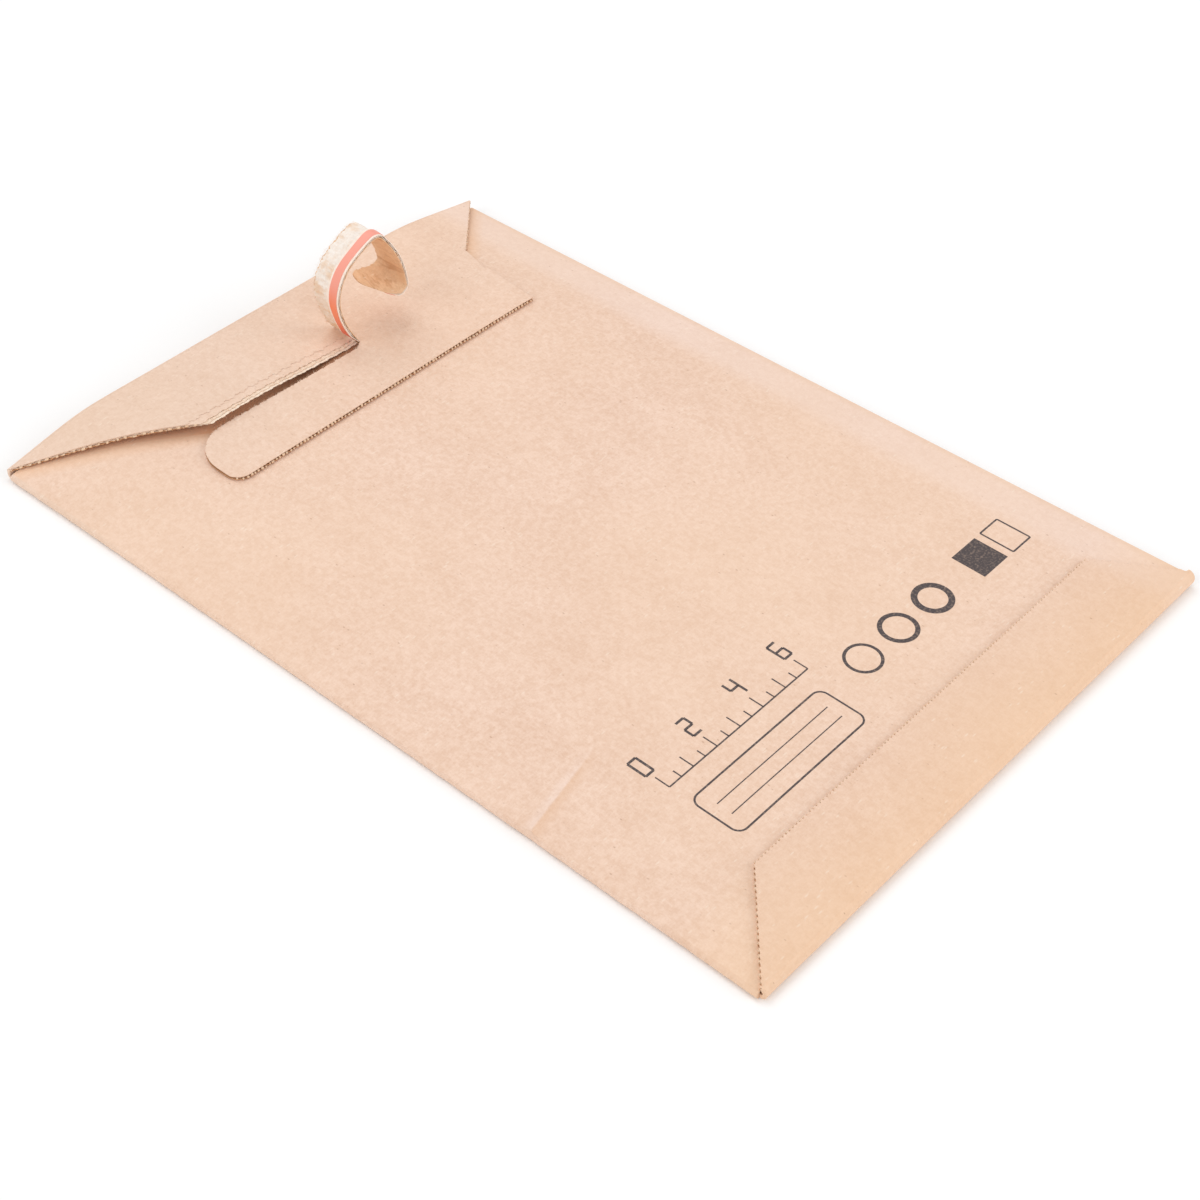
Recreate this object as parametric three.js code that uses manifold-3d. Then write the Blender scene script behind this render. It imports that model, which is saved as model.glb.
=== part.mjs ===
// A corrugated board mailing envelope, lying on its front panel with its tear strip half pulled out.
// Millimetres. X runs across the envelope, Y along it towards the mouth, and Z is up.
// The origin is the middle of the face that it lies on.
import * as THREE from 'three';
import { mergeVertices } from 'three/addons/utils/BufferGeometryUtils.js';
import Module from 'manifold-3d';

const wasm = await Module();
wasm.setup();

// Pouch
const WIDTH = 206;
const LENGTH = 298;
const GLUE_FLAP_WIDTH = 15;
const BACK_EDGE_INSET = 1.5; // cut edge of the back panel, in from the right fold
const MOUTH_INSET = 1.2; // cut edge of the back panel, in from the inside of the mouth fold

// Corrugated board: two liners with a fluted medium between them
const LINER = 0.25;
const FLUTE_ROOM = 0.7;
const FLUTE_PITCH = 2.2;
const MEDIUM = 0.18;
const STARCH = 0.04; // glue line between a flute's crest and the liner
const BOARD = 2 * LINER + FLUTE_ROOM;

// How the pouch stands open: flat at the bottom, arched from its middle to its mouth
const BULGE = 5.6;
const LEFT_GAP = 0.1;
const LEFT_RAMP = 29;
const RIGHT_RAMP = 33;
const KNEE = 8; // sharpness of the arch's two shoulders
const SHOULDER = 1.25; // end of the rounded shoulder, in lengths of its ramp
const ARCH_START = 34; // from the bottom fold, along the pouch
const CROWN_FACET = 10; // flutes in one facet of the flat crown

// Folds
const FOLD_GAP = 0.15; // air left between two boards that are folded flat
const FOLD_DEPTH = 2;
const FOLD_STEPS = 8;
const FOLD_FACET = 5; // flutes in one facet of the mouth's fold
const MOUTH_FOLD_RADIUS = 1.4;
const CREASE_CLEARANCE = 0.05;

// Glue
const SEAM_GLUE = 0.12;
const SEAM_GLUE_WIDTH = 6;
const CLOSURE_GLUE = 0.3;
const CLOSURE_GLUE_WIDTH = 12;
const FILM_CLEARANCE = 0.03;

// Bottom flap, glued on the outside of the back panel
const BOTTOM_FLAP_DEPTH = 28;
const BOTTOM_FLAP_LEFT = 30; // slant of its left end, measured across
const BOTTOM_FLAP_RIGHT = 16;

// Closure flap
const FLAP_LEFT_SLOPE = 0.72;
const FLAP_RIGHT_SLOPE = 0.9;
const FLAP_CORNER = 1; // end of the flap, in from the side fold
const FLAP_SLACK_LEFT = 0.2; // between the flap and the back panel at the mouth
const FLAP_SLACK_RIGHT = 1;
const FLAP_SPRING = 2.4; // how far the torn side has sprung up
const SPRING_RAMP = 50; // length over which it does
const TORN_INNER_LINER = 36.4; // torn edges, measured from the mouth's outside
const TORN_MEDIUM = 33.6;
const TORN_OUTER_LINER = 29.2;
const TEAR_RAGGEDNESS = 0.35;
const TEAR_STEP = 4;
const TORN_CORNER = 1.5; // bevel where the slanting left edge meets the tear

// Tear strip
const STRIP_ROOT = 12; // where the torn length still holds
const STRIP_NEAR = 38.4; // edge towards the tongue, from the mouth's outside
const STRIP_WIDTH = 12;
const STRIP_FLARE = 3.5; // how far its right end slants
const TAPE_WIDTH = 4;
const TAPE_THICK = 0.12;
const TAPE_INSET = 0.4;
const TEAR_GAP = 0.15;

// Curled length of the tear strip, as the arcs of its printed face: radius, and turn in degrees
const CURL_LIFT = 0.45; // its root, above the strip that still holds
const CURL_HEADING = 126;
const CURL_ARCS = [[38, 25], [14, 70], [60, 9], [4, 74], [46, 29], [2.2, 115], [60, 5]];
const CURL_STEP = 12; // degrees of turn in one facet
const CURL_LINER_WIDTH = 4.8;
const CURL_TIP = 3; // length over which the free end's corners are rounded
const CURL_TIP_WIDTH = 0.75; // share of the strip's width that is left at the free end

// Tongue, held down by the closure adhesive
const TONGUE_DEPTH = 24;
const TONGUE_LEFT = -62;
const TONGUE_RIGHT = 69.5;
const TONGUE_CORNER = 5;
const TONGUE_SHOULDER = 14; // large rounding where the strip's pull tab was cut
const TONGUE_SHOULDER_RADIUS = 13;
const TONGUE_SHOULDER_TURN = [100, 175]; // degrees, from the torn edge round to the left side

const KRAFT = 0xe9c6a4;
const KRAFT_INSIDE = 0xcf9f74;
const MEDIUM_COLOUR = 0xc8976a;
const TAPE_COLOUR = 0xe8714c;
const GLUE_COLOUR = 0xf2ead8;
const PAPER_ROUGHNESS = 0.9;
const TAPE_ROUGHNESS = 0.45;
const GLUE_ROUGHNESS = 0.4;

// How the solids are drawn
const SAME_PLACE = 0.01; // positions closer than this are one
const SPARE = FLUTE_PITCH; // board beyond an outline, before it is trimmed
const CORNER_STEPS = 5;
const MOUTH_FOLD_STEPS = 3; // in each quarter turn

const foldRadius = (2 * BOARD + FOLD_GAP) / 2;
const leftFoldRadius = (2 * BOARD + LEFT_GAP) / 2;
const leftLine = -WIDTH / 2 + leftFoldRadius;
const rightLine = WIDTH / 2 - foldRadius;
const bottomLine = -LENGTH / 2 + FOLD_DEPTH;
const mouthLine = LENGTH / 2 - MOUTH_FOLD_RADIUS;
const backRight = WIDTH / 2 - BACK_EDGE_INSET;
const backMouth = mouthLine - MOUTH_INSET;
const archStart = -LENGTH / 2 + ARCH_START;
const stripNear = LENGTH / 2 - STRIP_NEAR;
const stripFar = stripNear + STRIP_WIDTH;
const bottomFlapEdge = -LENGTH / 2 + BOTTOM_FLAP_DEPTH;
const flapLeft = -WIDTH / 2 + FLAP_CORNER;
const flapRight = WIDTH / 2 - FLAP_CORNER;

const envelope = new THREE.Group();

function addPiece(name, geometry, color, roughness = PAPER_ROUGHNESS) {
  geometry.computeVertexNormals();
  const material = new THREE.MeshStandardMaterial({ color, roughness, metalness: 0 });
  const mesh = new THREE.Mesh(geometry, material);
  mesh.name = name;
  envelope.add(mesh);
}

// Facets: every ply has its lines of vertices at the same positions across the pouch, each on a
// crest or a trough of the flutes. The flat crown between the two shoulders needs few.

// The flutes' crests and troughs, on one lattice for the whole blank
function fluteLattice(from, to) {
  const step = FLUTE_PITCH / 2;
  const lattice = [];
  for (let k = Math.ceil(from / step - 0.5); (k + 0.5) * step <= to; k += 1) {
    lattice.push({ at: (k + 0.5) * step, crest: k % 2 === 0 });
  }
  return lattice;
}

const leftShoulder = leftLine + SHOULDER * LEFT_RAMP;
const rightShoulder = rightLine - SHOULDER * RIGHT_RAMP;
const everyFlute = fluteLattice(leftLine, rightLine).map(({ at }) => at);
const onShoulder = (x) => x < leftShoulder || x > rightShoulder;
const stations = everyFlute.filter((x, i) => onShoulder(x) || i % CROWN_FACET === 0);

function spread(list, from, to) {
  return [from, ...list.filter((x) => x > from + SAME_PLACE && x < to - SAME_PLACE), to];
}

// The crest or trough that is nearest to a position
const snap = (x) => everyFlute.reduce((best, at) => (Math.abs(at - x) < Math.abs(best - x) ? at : best));

// Makes a function of x run straight between positions, so that stacked plies share their facets
function faceted(list, shape) {
  const values = list.map(shape);
  return (x) => {
    let i = 1;
    while (i < list.length - 1 && list[i] < x) i += 1;
    const t = (x - list[i - 1]) / (list[i] - list[i - 1]);
    return values[i - 1] + t * (values[i] - values[i - 1]);
  };
}

const arch = faceted(stations, (x) => {
  const left = (x - leftLine) / LEFT_RAMP;
  const right = (rightLine - x) / RIGHT_RAMP;
  const sum = Math.exp(-KNEE * left) + Math.exp(-KNEE * right) + Math.exp(-KNEE);
  return (-BULGE * Math.log(sum)) / KNEE;
});

const springStart = snap(STRIP_ROOT);
const springFull = snap(STRIP_ROOT - SPRING_RAMP);
const onSpring = (x) => x >= springFull && x <= springStart;
const upperStations = everyFlute
  .filter((x, i) => i % 2 === 0)
  .filter((x, i) => onShoulder(x) || onSpring(x) || i % (CROWN_FACET / 2) === 0);

// How far the torn side of the flap has sprung up at a position
function sprung(x) {
  const share = (springStart - x) / (springStart - springFull);
  return FLAP_SPRING * THREE.MathUtils.clamp(share, 0, 1);
}

// Surfaces, each the lower face of a board

const across = (x) => (x - leftLine) / (rightLine - leftLine);
const alongArch = (y) => Math.max(0, (y - archStart) / (mouthLine - archStart));

function backSurface(x, y) {
  const rightGap = FOLD_GAP + BOARD + SEAM_GLUE;
  return BOARD + LEFT_GAP + across(x) * (rightGap - LEFT_GAP) + arch(x) * alongArch(y);
}

const backTop = (x, y) => backSurface(x, y) + BOARD;
const glueFlapSurface = (x, y) => backSurface(x, y) - SEAM_GLUE - BOARD;
const bottomFlapSurface = (x, y) => backTop(x, y) + SEAM_GLUE;
const tongueSurface = (x, y) => backTop(x, y) + CLOSURE_GLUE;

function flapSurface(x, y) {
  const down = (mouthLine - y) / (mouthLine - stripFar);
  const atMouth = FLAP_SLACK_LEFT + across(x) * (FLAP_SLACK_RIGHT - FLAP_SLACK_LEFT);
  return backTop(x, y) + atMouth + (CLOSURE_GLUE - atMouth) * down + sprung(x) * down;
}

// Solids

// Closed solid between two faces of a grid. place gives the point at u, v on side 0 or side 1.
function slab(us, vs, place) {
  const columns = us.length;
  const rows = vs.length;
  const points = [];
  for (const side of [0, 1]) {
    for (const v of vs) {
      for (const u of us) points.push(...place(u, v, side));
    }
  }
  const at = (i, j, side) => side * columns * rows + j * columns + i;
  const index = [];
  const quad = (a, b, c, d) => index.push(a, b, c, a, c, d);
  for (let j = 0; j < rows - 1; j += 1) {
    for (let i = 0; i < columns - 1; i += 1) {
      quad(at(i, j, 1), at(i + 1, j, 1), at(i + 1, j + 1, 1), at(i, j + 1, 1));
      quad(at(i, j, 0), at(i, j + 1, 0), at(i + 1, j + 1, 0), at(i + 1, j, 0));
    }
  }
  for (let i = 0; i < columns - 1; i += 1) {
    quad(at(i, 0, 0), at(i + 1, 0, 0), at(i + 1, 0, 1), at(i, 0, 1));
    quad(at(i + 1, rows - 1, 0), at(i, rows - 1, 0), at(i, rows - 1, 1), at(i + 1, rows - 1, 1));
  }
  for (let j = 0; j < rows - 1; j += 1) {
    quad(at(0, j + 1, 0), at(0, j, 0), at(0, j, 1), at(0, j + 1, 1));
    quad(at(columns - 1, j, 0), at(columns - 1, j + 1, 0), at(columns - 1, j + 1, 1), at(columns - 1, j, 1));
  }
  return faceOutwards(points, index);
}

function faceOutwards(points, index) {
  const a = new THREE.Vector3();
  const b = new THREE.Vector3();
  const c = new THREE.Vector3();
  let volume = 0;
  for (let i = 0; i < index.length; i += 3) {
    a.fromArray(points, 3 * index[i]);
    b.fromArray(points, 3 * index[i + 1]);
    c.fromArray(points, 3 * index[i + 2]);
    volume += a.dot(b.cross(c));
  }
  const geometry = new THREE.BufferGeometry();
  geometry.setAttribute('position', new THREE.Float32BufferAttribute(points, 3));
  geometry.setIndex(volume > 0 ? index : index.reverse());
  return geometry;
}

function toManifold(geometry) {
  const bare = geometry.clone();
  bare.deleteAttribute('normal');
  bare.deleteAttribute('uv');
  const merged = mergeVertices(bare, 1e-4);
  return new wasm.Manifold(new wasm.Mesh({
    numProp: 3,
    vertProperties: new Float32Array(merged.attributes.position.array),
    triVerts: new Uint32Array(merged.index.array),
  }));
}

// Keeps what lies inside an outline seen from above
function trim(geometry, outline) {
  const options = { depth: WIDTH, bevelEnabled: false }; // far taller than the envelope
  const prism = new THREE.ExtrudeGeometry(new THREE.Shape(outline), options);
  prism.translate(0, 0, -WIDTH / 2);
  const mesh = toManifold(geometry).intersect(toManifold(prism)).getMesh();
  const trimmed = new THREE.BufferGeometry();
  trimmed.setAttribute('position', new THREE.BufferAttribute(new Float32Array(mesh.vertProperties), 3));
  trimmed.setIndex(new THREE.BufferAttribute(new Uint32Array(mesh.triVerts), 1));
  return trimmed;
}

// A ply that follows a surface, between two heights above it
function ply(span, rows, surface, low, high, facets = stations) {
  const place = (x, y, side) => [x, y, surface(x, y) + (side ? high : low)];
  return slab(spread(facets, ...span), rows, place);
}

// Height of the medium's lower face above the board's own, on a crest or in a trough
const fluteHeight = (crest) => (crest ? LINER + FLUTE_ROOM - STARCH - MEDIUM : LINER + STARCH);

// The fluted medium: a wave of paper that reaches the glue lines of both liners
function flutedPly(span, rows, surface) {
  const place = (flute, y, side) => {
    const height = fluteHeight(flute.crest) + side * MEDIUM;
    return [flute.at, y, surface(flute.at, y) + height];
  };
  return slab(fluteLattice(...span), rows, place);
}

// Three plies of one board, with the inner liner at the bottom. outlines gives one outline seen
// from above for each ply, or none.
function addBoard(name, span, rows, surface, { facets, outlines } = {}) {
  const shapes = {
    inner_liner: ply(span, rows, surface, 0, LINER, facets),
    fluting: flutedPly(span, rows, surface),
    outer_liner: ply(span, rows, surface, BOARD - LINER, BOARD, facets),
  };
  const colours = { inner_liner: KRAFT_INSIDE, fluting: MEDIUM_COLOUR, outer_liner: KRAFT };
  Object.entries(shapes).forEach(([layer, shape]) => {
    const geometry = outlines ? trim(shape, outlines[layer]) : shape;
    addPiece(`${name}_${layer}`, geometry, colours[layer]);
  });
}

const sameForAll = (outline) => ({ inner_liner: outline, fluting: outline, outer_liner: outline });
const corner = (x, y) => new THREE.Vector2(x, y);

// A board folded over on itself: half an ellipse whose height follows the stack that it holds.
// along gives the stations on the fold's line and place turns a station, depth and height into a point.
function foldedBoard(along, depth, stackHeight, place) {
  const turns = [];
  for (let i = 0; i <= FOLD_STEPS; i += 1) turns.push(-Math.PI / 2 + (Math.PI * i) / FOLD_STEPS);
  return slab(along, turns, (s, turn, side) => {
    const inward = side ? BOARD : 0;
    const half = stackHeight(s) / 2;
    return place(s, (depth - inward) * Math.cos(turn), half + (half - inward) * Math.sin(turn));
  });
}

// Unevenness of a tear at a position: two waves that never quite repeat
const ragged = (x) => TEAR_RAGGEDNESS * (Math.sin(1.9 * x) + 0.6 * Math.sin(0.83 * x + 1));

// A torn edge along x, drawn as a few uneven steps of paper
function tornEdge(from, to, y) {
  const count = Math.max(2, Math.round(Math.abs(to - from) / TEAR_STEP));
  const points = [];
  for (let i = 0; i <= count; i += 1) {
    const x = from + ((to - from) * i) / count;
    points.push(corner(x, y + ragged(x)));
  }
  return points;
}

// A rounded corner: points on an arc about a centre, between two angles in degrees
function roundedCorner(x, y, radius, from, to) {
  const points = [];
  for (let i = 0; i <= CORNER_STEPS; i += 1) {
    const angle = THREE.MathUtils.degToRad(from + ((to - from) * i) / CORNER_STEPS);
    points.push(corner(x + radius * Math.cos(angle), y + radius * Math.sin(angle)));
  }
  return points;
}

// Pouch

function addFrontPanel() {
  const flat = () => 0;
  const rows = [bottomLine + CREASE_CLEARANCE, mouthLine - CREASE_CLEARANCE];
  const span = [leftLine + CREASE_CLEARANCE, rightLine - CREASE_CLEARANCE];
  addPiece('front_outer_liner', ply(span, rows, flat, 0, LINER, []), KRAFT);
  addPiece('front_core', ply(span, rows, flat, LINER, BOARD - LINER, []), MEDIUM_COLOUR);
  addPiece('front_inner_liner', ply(span, rows, flat, BOARD - LINER, BOARD, []), KRAFT_INSIDE);
}

function addBackPanel() {
  const rows = [bottomLine + CREASE_CLEARANCE, archStart, backMouth];
  addBoard('back', [leftLine + CREASE_CLEARANCE, backRight], rows, backSurface);
}

function addSideFolds() {
  const rows = [bottomLine + CREASE_CLEARANCE, backMouth];
  const leftHeight = () => 2 * leftFoldRadius;
  const rightHeight = () => 2 * foldRadius;
  const onLeft = (y, depth, z) => [leftLine - depth, y, z];
  const onRight = (y, depth, z) => [rightLine + depth, y, z];
  addPiece('left_fold', foldedBoard(rows, leftFoldRadius, leftHeight, onLeft), KRAFT);
  addPiece('right_fold', foldedBoard(rows, foldRadius, rightHeight, onRight), KRAFT);
}

function addGlueFlap() {
  const rows = [bottomLine + CREASE_CLEARANCE, archStart, backMouth];
  const span = [snap(rightLine - GLUE_FLAP_WIDTH), rightLine - CREASE_CLEARANCE];
  addBoard('glue_flap', span, rows, glueFlapSurface);
  const middle = rightLine - GLUE_FLAP_WIDTH / 2;
  const bead = [snap(middle - SEAM_GLUE_WIDTH / 2), snap(middle + SEAM_GLUE_WIDTH / 2)];
  const seam = ply(bead, rows, glueFlapSurface, BOARD + FILM_CLEARANCE, BOARD + SEAM_GLUE - FILM_CLEARANCE);
  addPiece('side_seam_glue', seam, GLUE_COLOUR, GLUE_ROUGHNESS);
}

function addBottomFlap() {
  const ends = [leftLine, rightLine];
  const height = (x) => bottomFlapSurface(x, bottomLine) + BOARD;
  const onBottom = (x, depth, z) => [x, bottomLine - depth, z];
  addPiece('bottom_fold', foldedBoard(ends, FOLD_DEPTH, height, onBottom), KRAFT);

  const rows = [bottomLine + CREASE_CLEARANCE, bottomFlapEdge];
  const outline = [
    corner(leftLine, bottomLine + CREASE_CLEARANCE),
    corner(rightLine, bottomLine + CREASE_CLEARANCE),
    corner(rightLine - BOTTOM_FLAP_RIGHT, bottomFlapEdge),
    corner(leftLine + BOTTOM_FLAP_LEFT, bottomFlapEdge),
  ];
  addBoard('bottom_flap', ends, rows, bottomFlapSurface, { facets: [], outlines: sameForAll(outline) });

  const middle = (bottomLine + bottomFlapEdge) / 2;
  const bead = [middle - SEAM_GLUE_WIDTH / 2, middle + SEAM_GLUE_WIDTH / 2];
  const span = [leftLine + BOTTOM_FLAP_LEFT, rightLine - BOTTOM_FLAP_RIGHT];
  const glue = ply(span, bead, backTop, FILM_CLEARANCE, SEAM_GLUE - FILM_CLEARANCE, []);
  addPiece('bottom_seam_glue', glue, GLUE_COLOUR, GLUE_ROUGHNESS);
}

// Tongue

function tongueOutline() {
  const bottom = stripNear - TONGUE_DEPTH;
  const left = TONGUE_LEFT + TONGUE_CORNER;
  const shoulder = TONGUE_LEFT + TONGUE_SHOULDER;
  const topRight = TONGUE_RIGHT + STRIP_FLARE * (TONGUE_DEPTH / (TONGUE_DEPTH + STRIP_WIDTH));
  return [
    ...roundedCorner(left, bottom + TONGUE_CORNER, TONGUE_CORNER, 180, 270),
    corner(TONGUE_RIGHT, bottom),
    corner(topRight, stripNear),
    corner(STRIP_ROOT, stripNear),
    ...tornEdge(STRIP_ROOT - TEAR_STEP, shoulder, stripNear - 2 * TEAR_RAGGEDNESS),
    ...roundedCorner(shoulder, stripNear - TONGUE_SHOULDER, TONGUE_SHOULDER_RADIUS, ...TONGUE_SHOULDER_TURN),
  ];
}

function addTongue() {
  const rows = [stripNear - TONGUE_DEPTH, stripNear];
  const span = [TONGUE_LEFT - SPARE, TONGUE_RIGHT + STRIP_FLARE + SPARE];
  const outlines = sameForAll(tongueOutline());
  addBoard('tongue', span, rows, tongueSurface, { facets: upperStations, outlines });

  const middle = stripNear - TONGUE_DEPTH / 2;
  const bead = [middle - CLOSURE_GLUE_WIDTH / 2, middle + CLOSURE_GLUE_WIDTH / 2];
  const glueSpan = [TONGUE_LEFT + TONGUE_CORNER, TONGUE_RIGHT - TONGUE_CORNER];
  const film = ply(glueSpan, bead, backTop, FILM_CLEARANCE, CLOSURE_GLUE - FILM_CLEARANCE);
  addPiece('closure_adhesive', film, GLUE_COLOUR, GLUE_ROUGHNESS);
}

// Closure flap

// Where the slanting edges of the flap are, at a place along the envelope
const leftSlantAt = (y) => flapLeft + (mouthLine - y) / FLAP_LEFT_SLOPE;
const rightSlantAt = (y) => flapRight - (mouthLine - y) / FLAP_RIGHT_SLOPE;

function flapOutline(tornFromMouth) {
  const torn = LENGTH / 2 - tornFromMouth;
  const edge = stripFar + TEAR_GAP;
  return [
    corner(flapLeft, mouthLine - CREASE_CLEARANCE),
    corner(leftSlantAt(torn + TORN_CORNER), torn + TORN_CORNER),
    ...tornEdge(leftSlantAt(torn) + TORN_CORNER, STRIP_ROOT - TORN_CORNER, torn),
    corner(STRIP_ROOT, edge),
    corner(rightSlantAt(edge), edge),
    corner(flapRight, mouthLine - CREASE_CLEARANCE),
  ];
}

function addClosureFlap() {
  const rows = [LENGTH / 2 - TORN_INNER_LINER - SPARE, mouthLine - CREASE_CLEARANCE];
  const outlines = {
    inner_liner: flapOutline(TORN_INNER_LINER),
    fluting: flapOutline(TORN_MEDIUM),
    outer_liner: flapOutline(TORN_OUTER_LINER),
  };
  const span = [flapLeft - SPARE, flapRight + SPARE];
  addBoard('flap', span, rows, flapSurface, { facets: upperStations, outlines });
}

// The fold at the mouth: a rounded channel from under the front panel up to the flap
function addFlapFold() {
  const outer = MOUTH_FOLD_RADIUS;
  const inner = MOUTH_FOLD_RADIUS - BOARD;
  const turns = [];
  for (let i = 0; i <= MOUTH_FOLD_STEPS; i += 1) turns.push((90 * i) / MOUTH_FOLD_STEPS);
  const lower = turns.map((turn) => ({ angle: turn - 90, top: false }));
  const upper = turns.map((turn) => ({ angle: turn, top: true }));
  const place = (x, bend, side) => {
    const angle = THREE.MathUtils.degToRad(bend.angle);
    const radius = side ? inner : outer;
    const height = flapSurface(x, mouthLine) + BOARD;
    const centre = bend.top ? height - outer : outer;
    return [x, mouthLine + radius * Math.cos(angle), centre + radius * Math.sin(angle)];
  };
  const coarse = stations.filter((x, i) => i % FOLD_FACET === 0);
  const along = spread(coarse, flapLeft, flapRight);
  addPiece('flap_fold', slab(along, [...lower, ...upper], place), KRAFT);
}

// Tear strip

function addTearStrip() {
  const near = stripNear + TEAR_GAP;
  const far = stripFar;
  const left = STRIP_ROOT + TEAR_GAP;
  const right = rightSlantAt(far + TEAR_GAP);
  const outlines = sameForAll([
    corner(left, near),
    corner(right - STRIP_FLARE, near),
    corner(right, far),
    corner(left, far),
  ]);
  const span = [left - SPARE, right + SPARE];
  addBoard('strip', span, [near, far], tongueSurface, { facets: upperStations, outlines });

  const tapeRows = [near + TAPE_INSET, near + TAPE_INSET + TAPE_WIDTH];
  const top = -FILM_CLEARANCE;
  const tape = ply([left, right - STRIP_FLARE], tapeRows, tongueSurface, top - TAPE_THICK, top);
  addPiece('strip_tear_tape', tape, TAPE_COLOUR, TAPE_ROUGHNESS);
}

const curlArcs = CURL_ARCS.map(([radius, turn]) => {
  const length = radius * THREE.MathUtils.degToRad(turn);
  return { radius, length };
});
const curlLength = curlArcs.reduce((sum, arc) => sum + arc.length, 0);

// Place and heading on the curl's chain of arcs, at a length from its root
function alongArcs(length) {
  let x = STRIP_ROOT - TEAR_GAP;
  let z = tongueSurface(x, stripFar) + BOARD + CURL_LIFT;
  let heading = THREE.MathUtils.degToRad(CURL_HEADING);
  let left = length;
  for (const arc of curlArcs) {
    const step = Math.min(left, arc.length);
    const turn = step / arc.radius;
    const chord = 2 * arc.radius * Math.sin(turn / 2);
    x += chord * Math.cos(heading - turn / 2);
    z += chord * Math.sin(heading - turn / 2);
    heading -= turn;
    left -= step;
  }
  return { x, z, heading };
}

// Lengths at which the curl has a line across it, closer together where it turns fast
function curlFacets() {
  const fine = FLUTE_PITCH / 8;
  const lengths = [0];
  for (let length = fine; length < curlLength - fine; length += fine) {
    const turned = alongArcs(lengths.at(-1)).heading - alongArcs(length).heading;
    if (turned > THREE.MathUtils.degToRad(CURL_STEP)) lengths.push(length);
  }
  return [...lengths, curlLength];
}

const curlLines = curlFacets();
const curlPlaces = curlLines.map(alongArcs);

// A point of the curl at a length, a place across and a distance out of its convex side. It runs
// straight between the facets' lines, so that all plies share them.
function curlPoint(length, y, out) {
  let i = 1;
  while (i < curlLines.length - 1 && curlLines[i] < length) i += 1;
  const t = (length - curlLines[i - 1]) / (curlLines[i] - curlLines[i - 1]);
  const [a, b] = [curlPlaces[i - 1], curlPlaces[i]].map(({ x, z, heading }) => [
    x - out * Math.sin(heading),
    z + out * Math.cos(heading),
  ]);
  return [a[0] + t * (b[0] - a[0]), y, a[1] + t * (b[1] - a[1])];
}

function addCurl() {
  const middle = (stripNear + stripFar) / 2;
  const halfWidth = STRIP_WIDTH / 2 - TEAR_GAP;
  // half width at a length, drawn in a little where the free end's corners are rounded
  const half = (length) => {
    const into = Math.max(0, (length - (curlLength - CURL_TIP)) / CURL_TIP);
    const rounding = Math.sqrt(Math.max(0, 1 - into * into));
    return halfWidth * THREE.MathUtils.lerp(CURL_TIP_WIDTH, 1, rounding);
  };

  const liner = (length, edge, side) => curlPoint(length, middle + edge * half(length), side * LINER);
  addPiece('curl_outer_liner', slab(curlLines, [-1, 1], liner), KRAFT);

  const flutes = fluteLattice(FLUTE_PITCH / 2, curlLength - CURL_TIP);
  const medium = (flute, edge, side) => {
    const torn = flute.crest ? TEAR_RAGGEDNESS : 2 * TEAR_RAGGEDNESS;
    const y = middle + edge * (half(flute.at) - torn);
    return curlPoint(flute.at, y, fluteHeight(flute.crest) + side * MEDIUM);
  };
  addPiece('curl_fluting', slab(flutes, [-1, 1], medium), MEDIUM_COLOUR);

  const near = middle - halfWidth;
  const linerLines = curlLines.filter((length) => length < curlLength - CURL_TIP);
  const level = BOARD - LINER;
  const inner = (length, edge, side) => {
    const y = near + edge * CURL_LINER_WIDTH;
    return curlPoint(length, y, level + side * LINER);
  };
  addPiece('curl_inner_liner', slab(linerLines, [0, 1], inner), KRAFT_INSIDE);

  const tape = (length, edge, side) => {
    const y = near + TAPE_INSET + edge * TAPE_WIDTH;
    return curlPoint(length, y, BOARD + FILM_CLEARANCE + side * TAPE_THICK);
  };
  addPiece('curl_tear_tape', slab(linerLines, [0, 1], tape), TAPE_COLOUR, TAPE_ROUGHNESS);
}

addFrontPanel();
addSideFolds();
addGlueFlap();
addBackPanel();
addBottomFlap();
addTongue();
addFlapFold();
addClosureFlap();
addTearStrip();
addCurl();

export default envelope;
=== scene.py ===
"""Looks of the corrugated mailing envelope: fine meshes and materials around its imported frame."""

import math
import random

import bpy
import numpy as np
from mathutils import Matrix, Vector

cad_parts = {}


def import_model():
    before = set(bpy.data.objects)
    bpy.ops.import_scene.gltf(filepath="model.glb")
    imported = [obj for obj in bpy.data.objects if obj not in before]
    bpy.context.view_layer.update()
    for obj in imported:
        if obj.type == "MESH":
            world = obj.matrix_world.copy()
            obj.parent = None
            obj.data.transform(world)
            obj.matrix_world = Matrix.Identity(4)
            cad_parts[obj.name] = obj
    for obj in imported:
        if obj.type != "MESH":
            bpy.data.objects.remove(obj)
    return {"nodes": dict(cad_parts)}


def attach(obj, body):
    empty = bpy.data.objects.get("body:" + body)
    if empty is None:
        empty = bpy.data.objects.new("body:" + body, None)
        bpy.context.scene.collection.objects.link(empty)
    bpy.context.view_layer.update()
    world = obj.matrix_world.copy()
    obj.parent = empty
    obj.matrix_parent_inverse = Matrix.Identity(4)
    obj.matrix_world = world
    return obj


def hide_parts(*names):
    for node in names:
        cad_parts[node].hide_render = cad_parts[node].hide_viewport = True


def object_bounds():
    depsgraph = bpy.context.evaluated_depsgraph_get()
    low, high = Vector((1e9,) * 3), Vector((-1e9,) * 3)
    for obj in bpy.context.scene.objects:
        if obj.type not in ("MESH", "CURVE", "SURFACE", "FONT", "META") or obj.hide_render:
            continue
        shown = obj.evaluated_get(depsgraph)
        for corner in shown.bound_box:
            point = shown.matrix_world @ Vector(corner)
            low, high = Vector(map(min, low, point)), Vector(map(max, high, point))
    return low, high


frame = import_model()
frame_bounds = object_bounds()
rng = random.Random(4)

MM = 0.001
frame_low, frame_high = frame_bounds

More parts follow.
